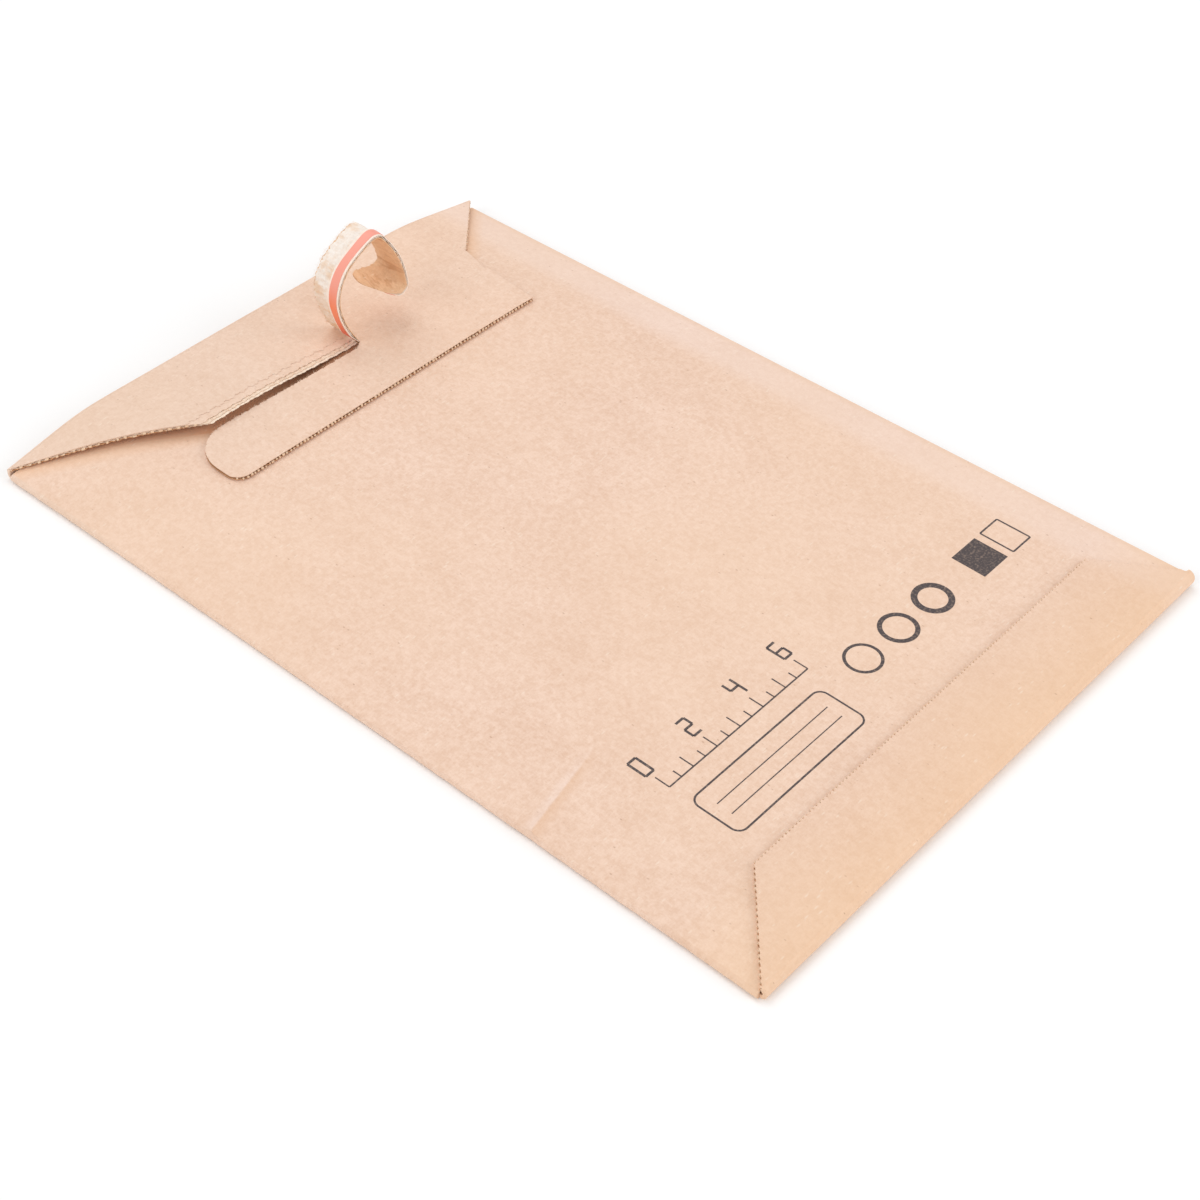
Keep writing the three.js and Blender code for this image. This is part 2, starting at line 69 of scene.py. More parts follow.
# Corrugated board, in millimetres as the rest of the sizes here
LINER = 0.25
FLUTE_ROOM = 0.7
BOARD = 2 * LINER + FLUTE_ROOM
FLUTE_PITCH = 2.2
MEDIUM = 0.18
MEDIUM_LEVEL = LINER + (FLUTE_ROOM - MEDIUM) / 2
FLUTE_AMPLITUDE = 0.2

# Pouch
WIDTH = round((frame_high.x - frame_low.x) / MM, 1)
LENGTH = round((frame_high.y - frame_low.y) / MM, 1)
FOLD_GAP = 0.15
FOLD_DEPTH = 2.0
FOLD_LAP = 0.3
SEAM_GLUE = 0.12
LEFT_GAP = 0.1
RIGHT_GAP = BOARD + FOLD_GAP + SEAM_GLUE
LEFT_FOLD_RADIUS = BOARD + LEFT_GAP / 2
RIGHT_FOLD_RADIUS = BOARD + FOLD_GAP / 2
MOUTH_FOLD_RADIUS = 1.4
LEFT_LINE = -WIDTH / 2 + LEFT_FOLD_RADIUS
RIGHT_LINE = WIDTH / 2 - RIGHT_FOLD_RADIUS
BOTTOM_LINE = -LENGTH / 2 + FOLD_DEPTH
MOUTH_LINE = LENGTH / 2 - MOUTH_FOLD_RADIUS
BACK_EDGE_INSET = 1.5
MOUTH_INSET = 1.2
BACK_RIGHT = WIDTH / 2 - BACK_EDGE_INSET
BACK_MOUTH = MOUTH_LINE - MOUTH_INSET

# Arch of the back panel, which is flat at the bottom end
BULGE = 5.6
LEFT_RAMP = 29
RIGHT_RAMP = 33
KNEE = 8
FLAT_LENGTH = 34
ARCH_START = -LENGTH / 2 + FLAT_LENGTH

# Unevenness of the back panel, which fades out towards its sides
RIPPLE = 0.12
FINE_RIPPLE = 0.05
RIPPLE_MARGIN = 12

# Crease pressed into the left edge
CREASE_HEIGHT = 0.95
CREASE_Y = -71.3
CREASE_SLOPE = 0.215
CREASE_END = -70
CREASE_FAR_REACH = 2.6
CREASE_NEAR_REACH = 1.9
CREASE_WANDER = 0.25
CREASE_WANDER_LENGTH = 2.7

# Side folds: their room at the bottom fold, their wear, how far the left one bows inwards, and the
# share of the crease's height by which it is drawn in further there
FOLD_ROOM = 0.05
FOLD_WEAR = 0.05
FOLD_FINE_WEAR = 0.04
LEFT_BOW = 0.65
CREASE_PULL = 0.3

# Bottom flap
BOTTOM_FLAP_DEPTH = 28
BOTTOM_FLAP_EDGE = -LENGTH / 2 + BOTTOM_FLAP_DEPTH
BOTTOM_FLAP_LEFT = 30
BOTTOM_FLAP_RIGHT = 16
LEAST_SHARE = 0.02

# Tongue
CLOSURE_GLUE = 0.3
TONGUE_BOTTOM = 86.6
TONGUE_LEFT = -62
TONGUE_RIGHT = 69.5
TONGUE_CORNER = 5
TONGUE_SHOULDER = 14
TONGUE_LEAST = 0.05
SLOT_WIDENING = 1.5
SLOT_START = -50
SLOT_LENGTH = 62

# Tear strip that still holds
STRIP_WIDTH = 12
STRIP_ROOT = 12.1
STRIP_NEAR = 110.65
STRIP_FAR = STRIP_NEAR + STRIP_WIDTH
STRIP_RIGHT = 70.9
STRIP_FLARE = 3.5
FLARE_LENGTH = 12
SEAM = 0.004

# Closure flap
FLAP_INSET = 1
FLAP_LEFT = -WIDTH / 2 + FLAP_INSET
FLAP_RIGHT = WIDTH / 2 - FLAP_INSET
FLAP_LEFT_SLOPE = 0.72
FLAP_RIGHT_SLOPE = 0.9
FLAP_SLACK_LEFT = 0.2
FLAP_SLACK_RIGHT = 1.0
FLAP_SPRING = 2.4
SPRING_START = 12
SPRING_RAMP = 50
FLAP_LEFT_CUT_END = -54
FLAP_RIGHT_CUT_START = 76
FLAP_TOP = MOUTH_LINE - 0.05
FLAP_LEAST = 0.03

# Torn edges beside the slot: how soon the tear opens and crushes the board left of the strip's root,
# and where each ply of the flap ends
TEAR_RUN = 3
CRUSH_RUN = 2
TORN_INNER = 112.0
TORN_MEDIUM = 112.9
TORN_OUTER = 114.0
TORN_SKIN = 116.6
TORN_DROP = 0.9
TORN_DROP_LENGTH = 60
SKIN = 0.12
SKIN_LIFT = 0.005
SKIN_OVERLAP = 0.05
SKIN_SIDE = 4
SKIN_TOP = 4
SKIN_TOP_FADE = 8
CRUSH = 0.55
CRUSH_LENGTH = 2.4

# Cut and perforated edges
LIP = 0.16
LIP_REACH = 0.6
NICK = 0.45
NICK_PITCH = 1.45
CUT_SHADE = 0.35
LEAST_DEPTH = 0.02

# Nubs of perforated edges. Their width and wander are shares of the pitch, their bottoms and heights
# shares of the board, and the other pairs spread their width and reach.
NUB_SHARE = 0.55
NUB_REACH = 0.16
NUB_WANDER = 0.14
NUB_WIDTHS = (0.6, 1.3)
NUB_REACHES = (0.1, 1.2)
NUB_BOTTOMS = (0.05, 0.3)
NUB_HEIGHTS = (0.4, 0.7)
NUB_ROOT = 0.3
NUB_TIP = 0.7
NUB_MARGIN = 1
SLOPE_STEP = 0.05

# Curl of the tear strip: radius and turn in degrees of the arcs of its printed face. The arc that
# comes down again is shorter on the flap's side, so the free end leans over.
CURL_ROOT = (11.85, 10.15)
CURL_HEADING = 126
CURL_ARCS = [(38, 25), (14, 70), (60, 9), (4, 74), (46, 29), (2.2, 115), (60, 5)]
CURL_DESCENT = 4
CURL_SKEW = 6.5
CURL_STEP = 0.25
CURL_MIDDLE = (STRIP_NEAR + STRIP_FAR) / 2
CURL_INNER_WIDTH = 4.8
CURL_WAVE = 0.12
CURL_WAVE_LENGTH = 3.7
CURL_WAVE_START = 8
ROOT_THICKNESS = 0.4
ROOT_CRUSH_LENGTH = 5
CURL_TIP = 3
CURL_TIP_WIDTH = 0.8
CURL_TIP_LENGTH = 7
CURL_TIP_ROUNDING = 5
CURL_TIP_BALANCE = 0.45
CURL_SPARE = 4
CURL_FLUTE_AMPLITUDE = 0.09
FLUFF = 0.1
FINE_FLUFF = 0.07
FLUFF_INSET = 0.4
TAPE_INSET = 0.7
TAPE_WIDTH = 3.2
TAPE_THICK = 0.12
TAPE_GLUE = 0.02

# Seed and size of the raggedness of the curl's edges
NEAR_TEAR = (5, 0.03)
FAR_TEAR = (6, 0.16)
FLUFF_TEAR = (7, 0.3)
TAPE_PAPER_TEAR = (8, 0.14)

# Torn fibres: their usual length and width, and the spread of these and of their directions
FIBRE_LENGTH = 0.9
FIBRE_WIDTH = 0.09
FIBRE_LENGTHS = (0.3, 1.3)
FIBRE_WIDTHS = (0.5, 1.2)
FIBRE_SPREAD = 0.8
FIBRE_DROOP_ACROSS = (-0.3, 0.3)
FIBRE_DROOP_UP = (-0.2, 0.4)
FIBRE_SHARES = (0, 0.35, 0.7, 1)
FIBRE_TAPER = 0.75
FIBRE_ROOT = 0.1
FIBRE_MARGIN = 1
TONGUE_FIBRE_START = TONGUE_LEFT + 8
FLAP_FIBRE_START = -52
FLAP_FIBRE_SPREAD = 0.3
RIM_FIBRE_LENGTH = 0.35
RIM_FIBRE_WIDTH = 0.16

# Fineness of the meshes: steps across them, how far the fine rows reach before and after the
# crease, counts of points along them, and the angle from which an edge is sharp
PANEL_STEP = 1.5
CREASE_STEP = 0.4
EDGE_STEP = 0.2
FOLD_STEP = 1
SIDE_FOLD_STEP = 0.75
STRIP_STEP = 0.5
CREASE_REACH = (6, 14)
BACK_ROWS = 120
BACK_CORE_ROWS = 41
BOTTOM_FLAP_ROWS = 24
TONGUE_ROWS = 30
FLAP_ROWS = 44
STRIP_ROWS = 12
HALF_ROUND_TURNS = 17
FLAP_FOLD_BENDS = 25
SHARP_ANGLE = 50

# Camera of the photograph
CAMERA_PLACE = (-372.55, -326.98, 426.08)
CAMERA_TURN = (47.475, -0.788, -48.488)
CAMERA_LENS = 64.8
CAMERA_SENSOR = 36


# Surfaces

def soft_min(values):
    total = sum(np.exp(-KNEE * value) for value in values)
    return -np.log(total) / KNEE


def smooth(t):
    t = np.clip(t, 0, 1)
    return t * t * (3 - 2 * t)


def arch(x):
    """Height of the arch: a ramp from each side, and a flat crown between them."""
    return BULGE * soft_min([(x - LEFT_LINE) / LEFT_RAMP, (RIGHT_LINE - x) / RIGHT_RAMP, 1 + 0 * x])


def across(x):
    """Share of the way from the left to the right fold line."""
    return (x - LEFT_LINE) / (RIGHT_LINE - LEFT_LINE)


def crease(x, y):
    """The sharp low ridge where the left edge was once bent."""
    from_edge = smooth((CREASE_END - x) / (CREASE_END - LEFT_LINE))
    wander = CREASE_WANDER * np.sin(x / CREASE_WANDER_LENGTH)
    away = y - CREASE_Y - CREASE_SLOPE * (x - LEFT_LINE) - wander
    slopes = np.exp(-np.abs(away) / np.where(away > 0, CREASE_FAR_REACH, CREASE_NEAR_REACH))
    return CREASE_HEIGHT * from_edge * slopes


def ripple(x, y):
    """Slight unevenness of a handled board, as waves whose lengths have no common measure."""
    slow = np.sin(x / 31 + 0.7 * np.sin(y / 47)) * np.sin(y / 39 + 1.1)
    return RIPPLE * slow + FINE_RIPPLE * np.sin(x / 11 + y / 17)


def back_surface(x, y):
    """Height of the back panel's inner face."""
    along = np.maximum(0, (y - ARCH_START) / (MOUTH_LINE - ARCH_START))
    gap = LEFT_GAP + across(x) * (RIGHT_GAP - LEFT_GAP)
    inside = smooth((x - LEFT_LINE) / RIPPLE_MARGIN) * smooth((RIGHT_LINE - x) / RIPPLE_MARGIN)
    return BOARD + gap + arch(x) * along + crease(x, y) + ripple(x, y) * inside


def back_top(x, y):
    return back_surface(x, y) + BOARD


def bottom_flap_surface(x, y):
    return back_top(x, y) + SEAM_GLUE


def tongue_surface(x, y):
    return back_top(x, y) + CLOSURE_GLUE


def flap_surface(x, y):
    """Height of the closure flap's inner face, whose torn side has sprung up at the left."""
    down = (MOUTH_LINE - y) / (MOUTH_LINE - STRIP_FAR)
    slack = FLAP_SLACK_LEFT + across(x) * (FLAP_SLACK_RIGHT - FLAP_SLACK_LEFT)
    sprung = FLAP_SPRING * smooth((SPRING_START - x) / SPRING_RAMP)
    return back_top(x, y) + slack + (CLOSURE_GLUE - slack) * down + sprung * down


# Meshes

def spaced(start, end, step):
    return np.linspace(start, end, max(2, round(abs(end - start) / step) + 1))


def towards_edges(count):
    """Shares from 0 to 1 that lie closer together at both ends."""
    return 0.5 - 0.5 * np.cos(np.linspace(0, math.pi, count))


def ragged(x, seed, size):
    """Uneven torn edge: a few waves that never repeat."""
    wave = np.sin(1.3 * x + seed) + 0.7 * np.sin(3.1 * x + 2 * seed) + 0.5 * np.sin(7.7 * x + 3 * seed)
    return size * (wave + 0.4 * np.sin(0.31 * x + seed))


def nicked(x):
    """Small teeth that a perforating blade leaves along a cut edge."""
    return NICK * np.abs(np.sin(math.pi * x / NICK_PITCH))


def blade_lip(x, distance):
    """A cut edge stands up and lies down in turn, where the blade's teeth pressed it."""
    return 1 + LIP * np.cos(2 * math.pi * x / NICK_PITCH) * np.exp(-np.maximum(0, distance) / LIP_REACH)


def add_object(name, data):
    obj = bpy.data.objects.new(name, data)
    bpy.context.scene.collection.objects.link(obj)
    return obj


def add_mesh(name, points, faces, look):
    """A smooth mesh, with its points in millimetres. look names its material."""
    mesh = bpy.data.meshes.new(name)
    mesh.from_pydata((np.asarray(points) * MM).tolist(), [], faces)
    mesh.polygons.foreach_set("use_smooth", [True] * len(mesh.polygons))
    mesh.materials.append(materials[look])
    mesh.update()
    return add_object(name, mesh)


def grid_faces(rows, columns):
    """Faces of a closed solid whose side 0 and side 1 are grids of points."""
    count = rows * columns
    index = np.arange(count).reshape(rows, columns)
    corners = [index[:-1, :-1], index[1:, :-1], index[1:, 1:], index[:-1, 1:]]
    lower = np.stack(corners, axis=-1).reshape(-1, 4)
    upper = lower[:, ::-1] + count
    rim = np.concatenate([index[0, :], index[1:, -1], index[-1, -2::-1], index[-2:0:-1, 0]])
    after = np.roll(rim, -1)
    walls = np.stack([rim, after, after + count, rim + count], axis=-1)
    return np.concatenate([lower, upper, walls]).tolist()


def slab(name, us, vs, place, look):
    """Closed solid between side 0 and side 1, which place gives for a grid of values."""
    u, v = np.meshgrid(us, vs)
    points = []
    for side in (0, 1):
        parts = [np.broadcast_to(part, u.shape) for part in place(u, v, side)]
        points.append(np.stack(parts, axis=-1).reshape(-1, 3))
    obj = add_mesh(name, np.concatenate(points), grid_faces(*u.shape), look)
    obj.data.set_sharp_from_angle(angle=math.radians(SHARP_ANGLE))
    return obj


def belongs(obj, body, slot, *nodes):
    """Say which body a piece rides on and which nodes it stands for, which are hidden. The slot is not
    used.
    """
    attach(obj, body)
    if nodes:
        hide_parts(*nodes)


def unmoved(x, y):
    return 0 * x


def uncrushed(x, y):
    return 1 + 0 * x


def flat(bottom, top):
    """Heights of the two sides of a flat ply."""
    return lambda x, pressed, side: top if side else bottom


def fluted(x, pressed, side):
    """Heights of the two sides of the medium, whose wave is flatter where the board is pressed."""
    wave = FLUTE_AMPLITUDE * pressed ** 2 * np.sin(2 * math.pi * x / FLUTE_PITCH)
    return MEDIUM_LEVEL + wave + side * MEDIUM


def ply(name, xs, rows, edges, surface, level, look, shear=unmoved, crush=uncrushed):
    """One paper of a board, from its lower to its upper edge at each place across."""
    def place(x, v, side):
        low, high = edges(x)
        y = low + v * (high - low)
        shifted = x + shear(x, y)
        pressed = crush(x, y)
        return shifted, y, surface(shifted, y) + level(x, pressed, side) * pressed

    return slab(name, xs, rows, place, look)


def board(name, body, span, step, rows, surface, edges, looks=("inner", "core", "kraft"), core_rows=None,
          shear=unmoved, crush=uncrushed):
    """Three plies. edges gives the lower and upper edge for each ply's name, and looks its paper."""
    if core_rows is None:
        core_rows = rows
    liner_grid = (spaced(*span, step), rows)
    medium_grid = (spaced(*span, FLUTE_PITCH / 8), core_rows)
    plies = [
        ("inner", "inner_liner", "inner_liner", liner_grid, flat(0, LINER)),
        ("medium", "fluting", "fluted_medium", medium_grid, fluted),
        ("outer", "outer_liner", "kraft_liner", liner_grid, flat(BOARD - LINER, BOARD)),
    ]
    for (part, node, slot, grid, level), look in zip(plies, looks):
        obj = ply(f"{name}_{part}_look", *grid, edges[part], surface, level, look, shear, crush)
        belongs(obj, body, slot, f"{name}_{node}")


def cut_alike(edges):
    """The same edges for all plies, with the medium crushed back a little by the blade."""
    def medium_edges(x):
        low, high = edges(x)
        return low + CUT_SHADE, np.maximum(high - CUT_SHADE, low + CUT_SHADE + LEAST_DEPTH)

    return {"inner": edges, "medium": medium_edges, "outer": edges}


# Materials

class Shader:
    """Short way to write a material's nodes."""

    def __init__(self, name):
        self.material = bpy.data.materials.new(name)
        self.material.use_nodes = True
        self.nodes = self.material.node_tree.nodes
        self.links = self.material.node_tree.links
        self.surface = self.nodes["Principled BSDF"]
        self.place = self.nodes.new("ShaderNodeTexCoord").outputs["Object"]

    def put(self, socket, value):
        if isinstance(value, bpy.types.NodeSocket):
            self.links.new(value, socket)
        else:
            socket.default_value = value

    def axes(self):
        """The place on the object, as one value for each axis."""
        node = self.nodes.new("ShaderNodeSeparateXYZ")
        self.put(node.inputs["Vector"], self.place)
        return node.outputs

    def stretched(self, scale):
        node = self.nodes.new("ShaderNodeMapping")
        self.put(node.inputs["Vector"], self.place)
        node.inputs["Scale"].default_value = scale
        return node.outputs["Vector"]

    def noise(self, scale, detail=2.0, rough=0.5):
        """Soft clouds, with scale as the repeats per metre along each axis."""
        node = self.nodes.new("ShaderNodeTexNoise")
        self.put(node.inputs["Vector"], self.stretched(scale))
        node.inputs["Scale"].default_value = 1
        node.inputs["Detail"].default_value = detail
        node.inputs["Roughness"].default_value = rough
        return node.outputs["Fac"]

    def flecks(self, scale):
        """Distance to the nearest of many scattered points."""
        node = self.nodes.new("ShaderNodeTexVoronoi")
        self.put(node.inputs["Vector"], self.stretched(scale))
        node.inputs["Scale"].default_value = 1
        node.inputs["Randomness"].default_value = 1
        return node.outputs["Distance"]

    def ramp(self, value, low, high, start=0.0, end=1.0):
        """From start to end, while value goes from low to high."""
        node = self.nodes.new("ShaderNodeMapRange")
        self.put(node.inputs["Value"], value)
        for key, number in (("From Min", low), ("From Max", high), ("To Min", start), ("To Max", end)):
            node.inputs[key].default_value = number
        return node.outputs["Result"]

    def fade(self, value, span, amount=1.0):
        """From 0 to amount, while value goes along a span in millimetres."""
        start, end = span
        return self.ramp(value, start * MM, end * MM, 0, amount)

    def mix(self, factor, first, second):
        node = self.nodes.new("ShaderNodeMix")
        node.data_type = "RGBA"
        self.put(node.inputs["Factor"], factor)
        self.put(node.inputs["A"], first)
        self.put(node.inputs["B"], second)
        return node.outputs["Result"]

    def math(self, operation, first, second):
        node = self.nodes.new("ShaderNodeMath")
        node.operation = operation
        self.put(node.inputs[0], first)
        self.put(node.inputs[1], second)
        return node.outputs["Value"]

    def times(self, first, *others):
        product = first
        for other in others:
            product = self.math("MULTIPLY", product, other)
        return product

    def minus(self, first, second):
        return self.math("SUBTRACT", first, second)

    def colour(self, colour, roughness):
        self.put(self.surface.inputs["Base Color"], colour)
        self.put(self.surface.inputs["Roughness"], roughness)

    def bump(self, height, strength, distance):
        """Relief, with its distance in millimetres."""
        node = self.nodes.new("ShaderNodeBump")
        self.put(node.inputs["Height"], height)
        node.inputs["Strength"].default_value = strength
        node.inputs["Distance"].default_value = distance * MM
        self.put(self.surface.inputs["Normal"], node.outputs["Normal"])


def rgb(red, green, blue):
    """A colour as a screen shows it, turned into the linear one that a shader takes."""
    linear = [((c / 255 + 0.055) / 1.055) ** 2.4 for c in (red, green, blue)]
    return (*linear, 1)


def grey(level):
    return (level, level, level, 1)


# Patterns of the paper, as repeats per metre across, along and through the sheet
PULP_CLOUDS = (62, 48, 62)
MOTTLE = (560, 430, 560)
FIBRES_ALONG = (1500, 620, 1500)
FIBRES_ACROSS = (640, 1700, 640)
DARK_FLECKS = (700, 380, 700)
DARK_GROUPS = (240, 240, 240)
PALE_HAIRS = (230, 760, 500)
PALE_GROUPS = (150, 150, 150)

# Shares of the patterns in the paper's tone and of the mottle in its relief, the depth of that
# relief in millimetres, and the gloss
CLOUD_SHARE = 0.2
MOTTLE_SHARE = 0.36
WEAVE_SHARE = 0.44
MOTTLE_RELIEF = 0.8
PAPER_RELIEF = 0.12
PAPER_GLOSS = 0.25

# Where the paper and the tape change their tone, much of it painted light and shade, as places and spans in
# millimetres
SLOPE_SHEEN_FADE = (83, 90)
RIGHT_FOLD_SHADE_FADE = (98.5, 101.5)
BOTTOM_FADE = (-118, -147)
FLAP_FADE = (80, 112)
FLAP_SIDE_FADE = (30, -20)
BOTTOM_FLAP_FADE = (-117, -123)
CREASE_SIDE_FADE = (CREASE_END + 2, CREASE_END - 10)
RUBBED_AND_HIGHLIT_RISE = (-0.3, 0.4)
RUBBED_AND_HIGHLIT_FALL = (3.4, 0.8)
SHADED_RISE = (0.4, -0.3)
SHADED_FALL = (-3.8, -0.4)
COVER_START = STRIP_NEAR - 1.6
COVER_FADE = (0.1, 0.8)
COVER_SHADOW = (-7, 0)
SLOT_FADE = (-34, -10)
SLOT_FAR_FADE = (117, 113)
SLOT_ROOT_FADE = (13.5, 11.5)
TORN_FADE = (116.5, 113.5)
TAPE_ORANGE_FADE = (13, 23)
TAPE_PINK_FADE = (26, 34)
FLUFF_FADE = (30, 14)

# Light, dark and fleck colour of each paper, as a screen shows them
KRAFT = ((246, 217, 198), (227, 191, 167), (150, 108, 78))
KRAFT_INSIDE = ((226, 180, 138), (200, 150, 110), (120, 80, 52))
KRAFT_CURLED = ((246, 210, 174), (228, 186, 146), (160, 116, 82))
# The fluting core's brown is partly its paper and partly painted shade in the gaps of cut edges
CORE_AND_PAINTED_SHADE = ((190, 146, 108), (154, 112, 80), (100, 72, 52))
TORN = ((252, 232, 212), (232, 200, 172), (160, 118, 88))
NUB = ((250, 224, 196), (228, 192, 158), (160, 118, 88))
FLUFFED = ((254, 246, 238), (244, 226, 210), (204, 168, 138))
TAPE_PAPER = ((255, 244, 234), (248, 228, 210), (220, 186, 156))
PALE_HAIR = (250, 232, 214)


def paper(name, colours, relief=0.25, tint=None):
    """Kraft paper: clouds of pulp, fibres lying along the sheet, a few dark and pale flecks."""
    light, dark, fleck = (rgb(*colour) for colour in colours)
    s = Shader(name)
    clouds = s.ramp(s.noise(PULP_CLOUDS, 3, 0.6), 0.38, 0.62)
    mottle = s.ramp(s.noise(MOTTLE, 3, 0.65), 0.4, 0.6)
    fibres = s.ramp(s.noise(FIBRES_ALONG, 2, 0.7), 0.4, 0.6)
    cross = s.ramp(s.noise(FIBRES_ACROSS, 2, 0.65), 0.4, 0.6)
    weave = s.times(s.math("ADD", fibres, cross), 0.5)
    fine = s.math("ADD", s.times(mottle, MOTTLE_SHARE), s.times(weave, WEAVE_SHARE))
    tone = s.math("ADD", fine, s.times(clouds, CLOUD_SHARE))
    ground = s.mix(tone, dark, light)
    if tint:
        ground = tint(s, ground)
    spots = s.ramp(s.flecks(DARK_FLECKS), 0.08, 0.2, 1, 0)
    spot_groups = s.ramp(s.noise(DARK_GROUPS, 1), 0.58, 0.7, 0, 0.4)
    speckled = s.mix(s.times(spots, spot_groups), ground, fleck)
    hairs = s.ramp(s.flecks(PALE_HAIRS), 0.12, 0.24, 1, 0)
    hair_groups = s.ramp(s.noise(PALE_GROUPS, 1), 0.52, 0.62, 0, 0.4)
    finished = s.mix(s.times(hairs, hair_groups), speckled, rgb(*PALE_HAIR))
    s.colour(finished, s.ramp(tone, 0, 1, 0.78, 0.94))
    s.surface.inputs["Specular IOR Level"].default_value = PAPER_GLOSS
    s.bump(s.math("ADD", weave, s.times(mottle, MOTTLE_RELIEF)), relief, PAPER_RELIEF)
    return s.material


def outer_tone_and_painted_light(s, ground):
    """The outer liner drifts in tone, gets a painted highlight, paler and pinker, where it slopes down over
    the side seam, is warmer near the bottom fold, and gets painted shade at its right edge.
    """
    axes = s.axes()
    drift = s.ramp(s.noise((9, 7, 9), 2), 0.35, 0.65, 0, 0.35)
    # Painted highlight: paler and pinker where the panel slopes down over the side seam
    painted_slope_sheen = s.mix(s.fade(axes["X"], SLOPE_SHEEN_FADE, 0.42), ground, rgb(244, 222, 212))
    drifted = s.mix(drift, painted_slope_sheen, rgb(242, 209, 180))
    warmer = s.mix(s.fade(axes["Y"], BOTTOM_FADE, 0.4), drifted, rgb(246, 205, 160))
    # Painted shade: darker and oranger where the panel turns down into the right fold
    return s.mix(s.fade(axes["X"], RIGHT_FOLD_SHADE_FADE, 0.3), warmer, rgb(230, 190, 152))


def flap_tint(s, ground):
    """The closure flap is a little greyer than the panel, and the bottom flap a little darker."""
    axes = s.axes()
    closure = s.times(s.fade(axes["Y"], FLAP_FADE), s.fade(axes["X"], FLAP_SIDE_FADE, 0.2))
    greyer = s.mix(closure, outer_tone_and_painted_light(s, ground), rgb(226, 206, 187))
    return s.mix(s.fade(axes["Y"], BOTTOM_FLAP_FADE, 0.18), greyer, rgb(222, 182, 154))


def crease_wear_and_painted_light(s, ground):
    """The crease at the left edge is rubbed pale on its far side, with a painted highlight there, and its
    near side gets painted shade.
    """
    axes = s.axes()
    share = s.fade(axes["X"], CREASE_SIDE_FADE)
    slanting = s.times(s.minus(axes["X"], LEFT_LINE * MM), CREASE_SLOPE)
    away = s.minus(s.minus(axes["Y"], CREASE_Y * MM), slanting)
    rubbed_and_highlit = s.times(s.fade(away, RUBBED_AND_HIGHLIT_RISE), s.fade(away, RUBBED_AND_HIGHLIT_FALL))
    shaded = s.times(s.fade(away, SHADED_RISE), s.fade(away, SHADED_FALL))
    patches = s.ramp(s.noise((300, 300, 300), 2), 0.3, 0.6, 0.4, 1)
    # Rubbed pale, with a painted highlight, on the crease's far slope
    paler = s.mix(s.times(rubbed_and_highlit, share, patches, 0.4), ground, rgb(250, 228, 218))
    # Painted shade on the crease's near slope
    return s.mix(s.times(shaded, share, 0.4), paler, rgb(222, 178, 142))


def panel_tone_and_painted_light(s, ground):
    """Painted shade: darker where the flap covers the panel, darkest at the bottom of the torn slot, and
    warmer just below the flap's cut edge.
    """
    axes = s.axes()
    left_cut = s.times(s.minus(axes["X"], FLAP_LEFT * MM), -FLAP_LEFT_SLOPE)
    right_cut = s.times(s.minus(axes["X"], FLAP_RIGHT * MM), FLAP_RIGHT_SLOPE)
    cut = s.math("ADD", s.math("MAXIMUM", left_cut, right_cut), MOUTH_LINE * MM)
    above = s.minus(axes["Y"], s.math("MAXIMUM", cut, COVER_START * MM))
    creased = crease_wear_and_painted_light(s, outer_tone_and_painted_light(s, ground))
    # Painted warm shade just below the flap's cut edge
    warmer = s.mix(s.fade(above, COVER_SHADOW, 0.45), creased, rgb(238, 188, 142))
    # Painted shade on the floor of the torn slot, darkest towards the strip's root
    painted_slot_shade = s.mix(s.fade(axes["X"], SLOT_FADE), rgb(226, 174, 138), rgb(150, 98, 66))
    in_slot = s.times(s.fade(axes["Y"], SLOT_FAR_FADE), s.fade(axes["X"], SLOT_ROOT_FADE))
    # Painted shade where the flap covers the panel
    painted_cover_shade = s.mix(in_slot, rgb(226, 184, 152), painted_slot_shade)
    return s.mix(s.fade(above, COVER_FADE, 0.9), warmer, painted_cover_shade)


def torn_inner_tint(s, ground):
    """The flap's inner liner is torn to pale fibres along its tear."""
    return s.mix(s.fade(s.axes()["Y"], TORN_FADE), ground, rgb(250, 230, 210))


def fluff_tint(s, ground):
    """Patches of brown paper in the fluff, and a tan tone, in patches, that grows towards the bottom of the
    curl.
    """
    patches = s.ramp(s.noise((210, 130, 210), 3, 0.6), 0.5, 0.66, 0, 0.6)
    patched = s.mix(patches, ground, rgb(236, 192, 148))
    groups = s.ramp(s.noise((160, 90, 160), 2), 0.3, 0.6)
    low = s.times(s.fade(s.axes()["Z"], FLUFF_FADE), groups, 0.85)
    return s.mix(low, patched, rgb(226, 178, 124))


def curled_tint(s, ground):
    """Darker creases across the printed face inside the curl, painted as shade in the creases."""
    # Painted shade in creases across the strip
    painted_crease_shade = s.ramp(s.noise((420, 30, 420), 2, 0.6), 0.56, 0.68, 0, 0.5)
    return s.mix(painted_crease_shade, ground, rgb(198, 146, 104))


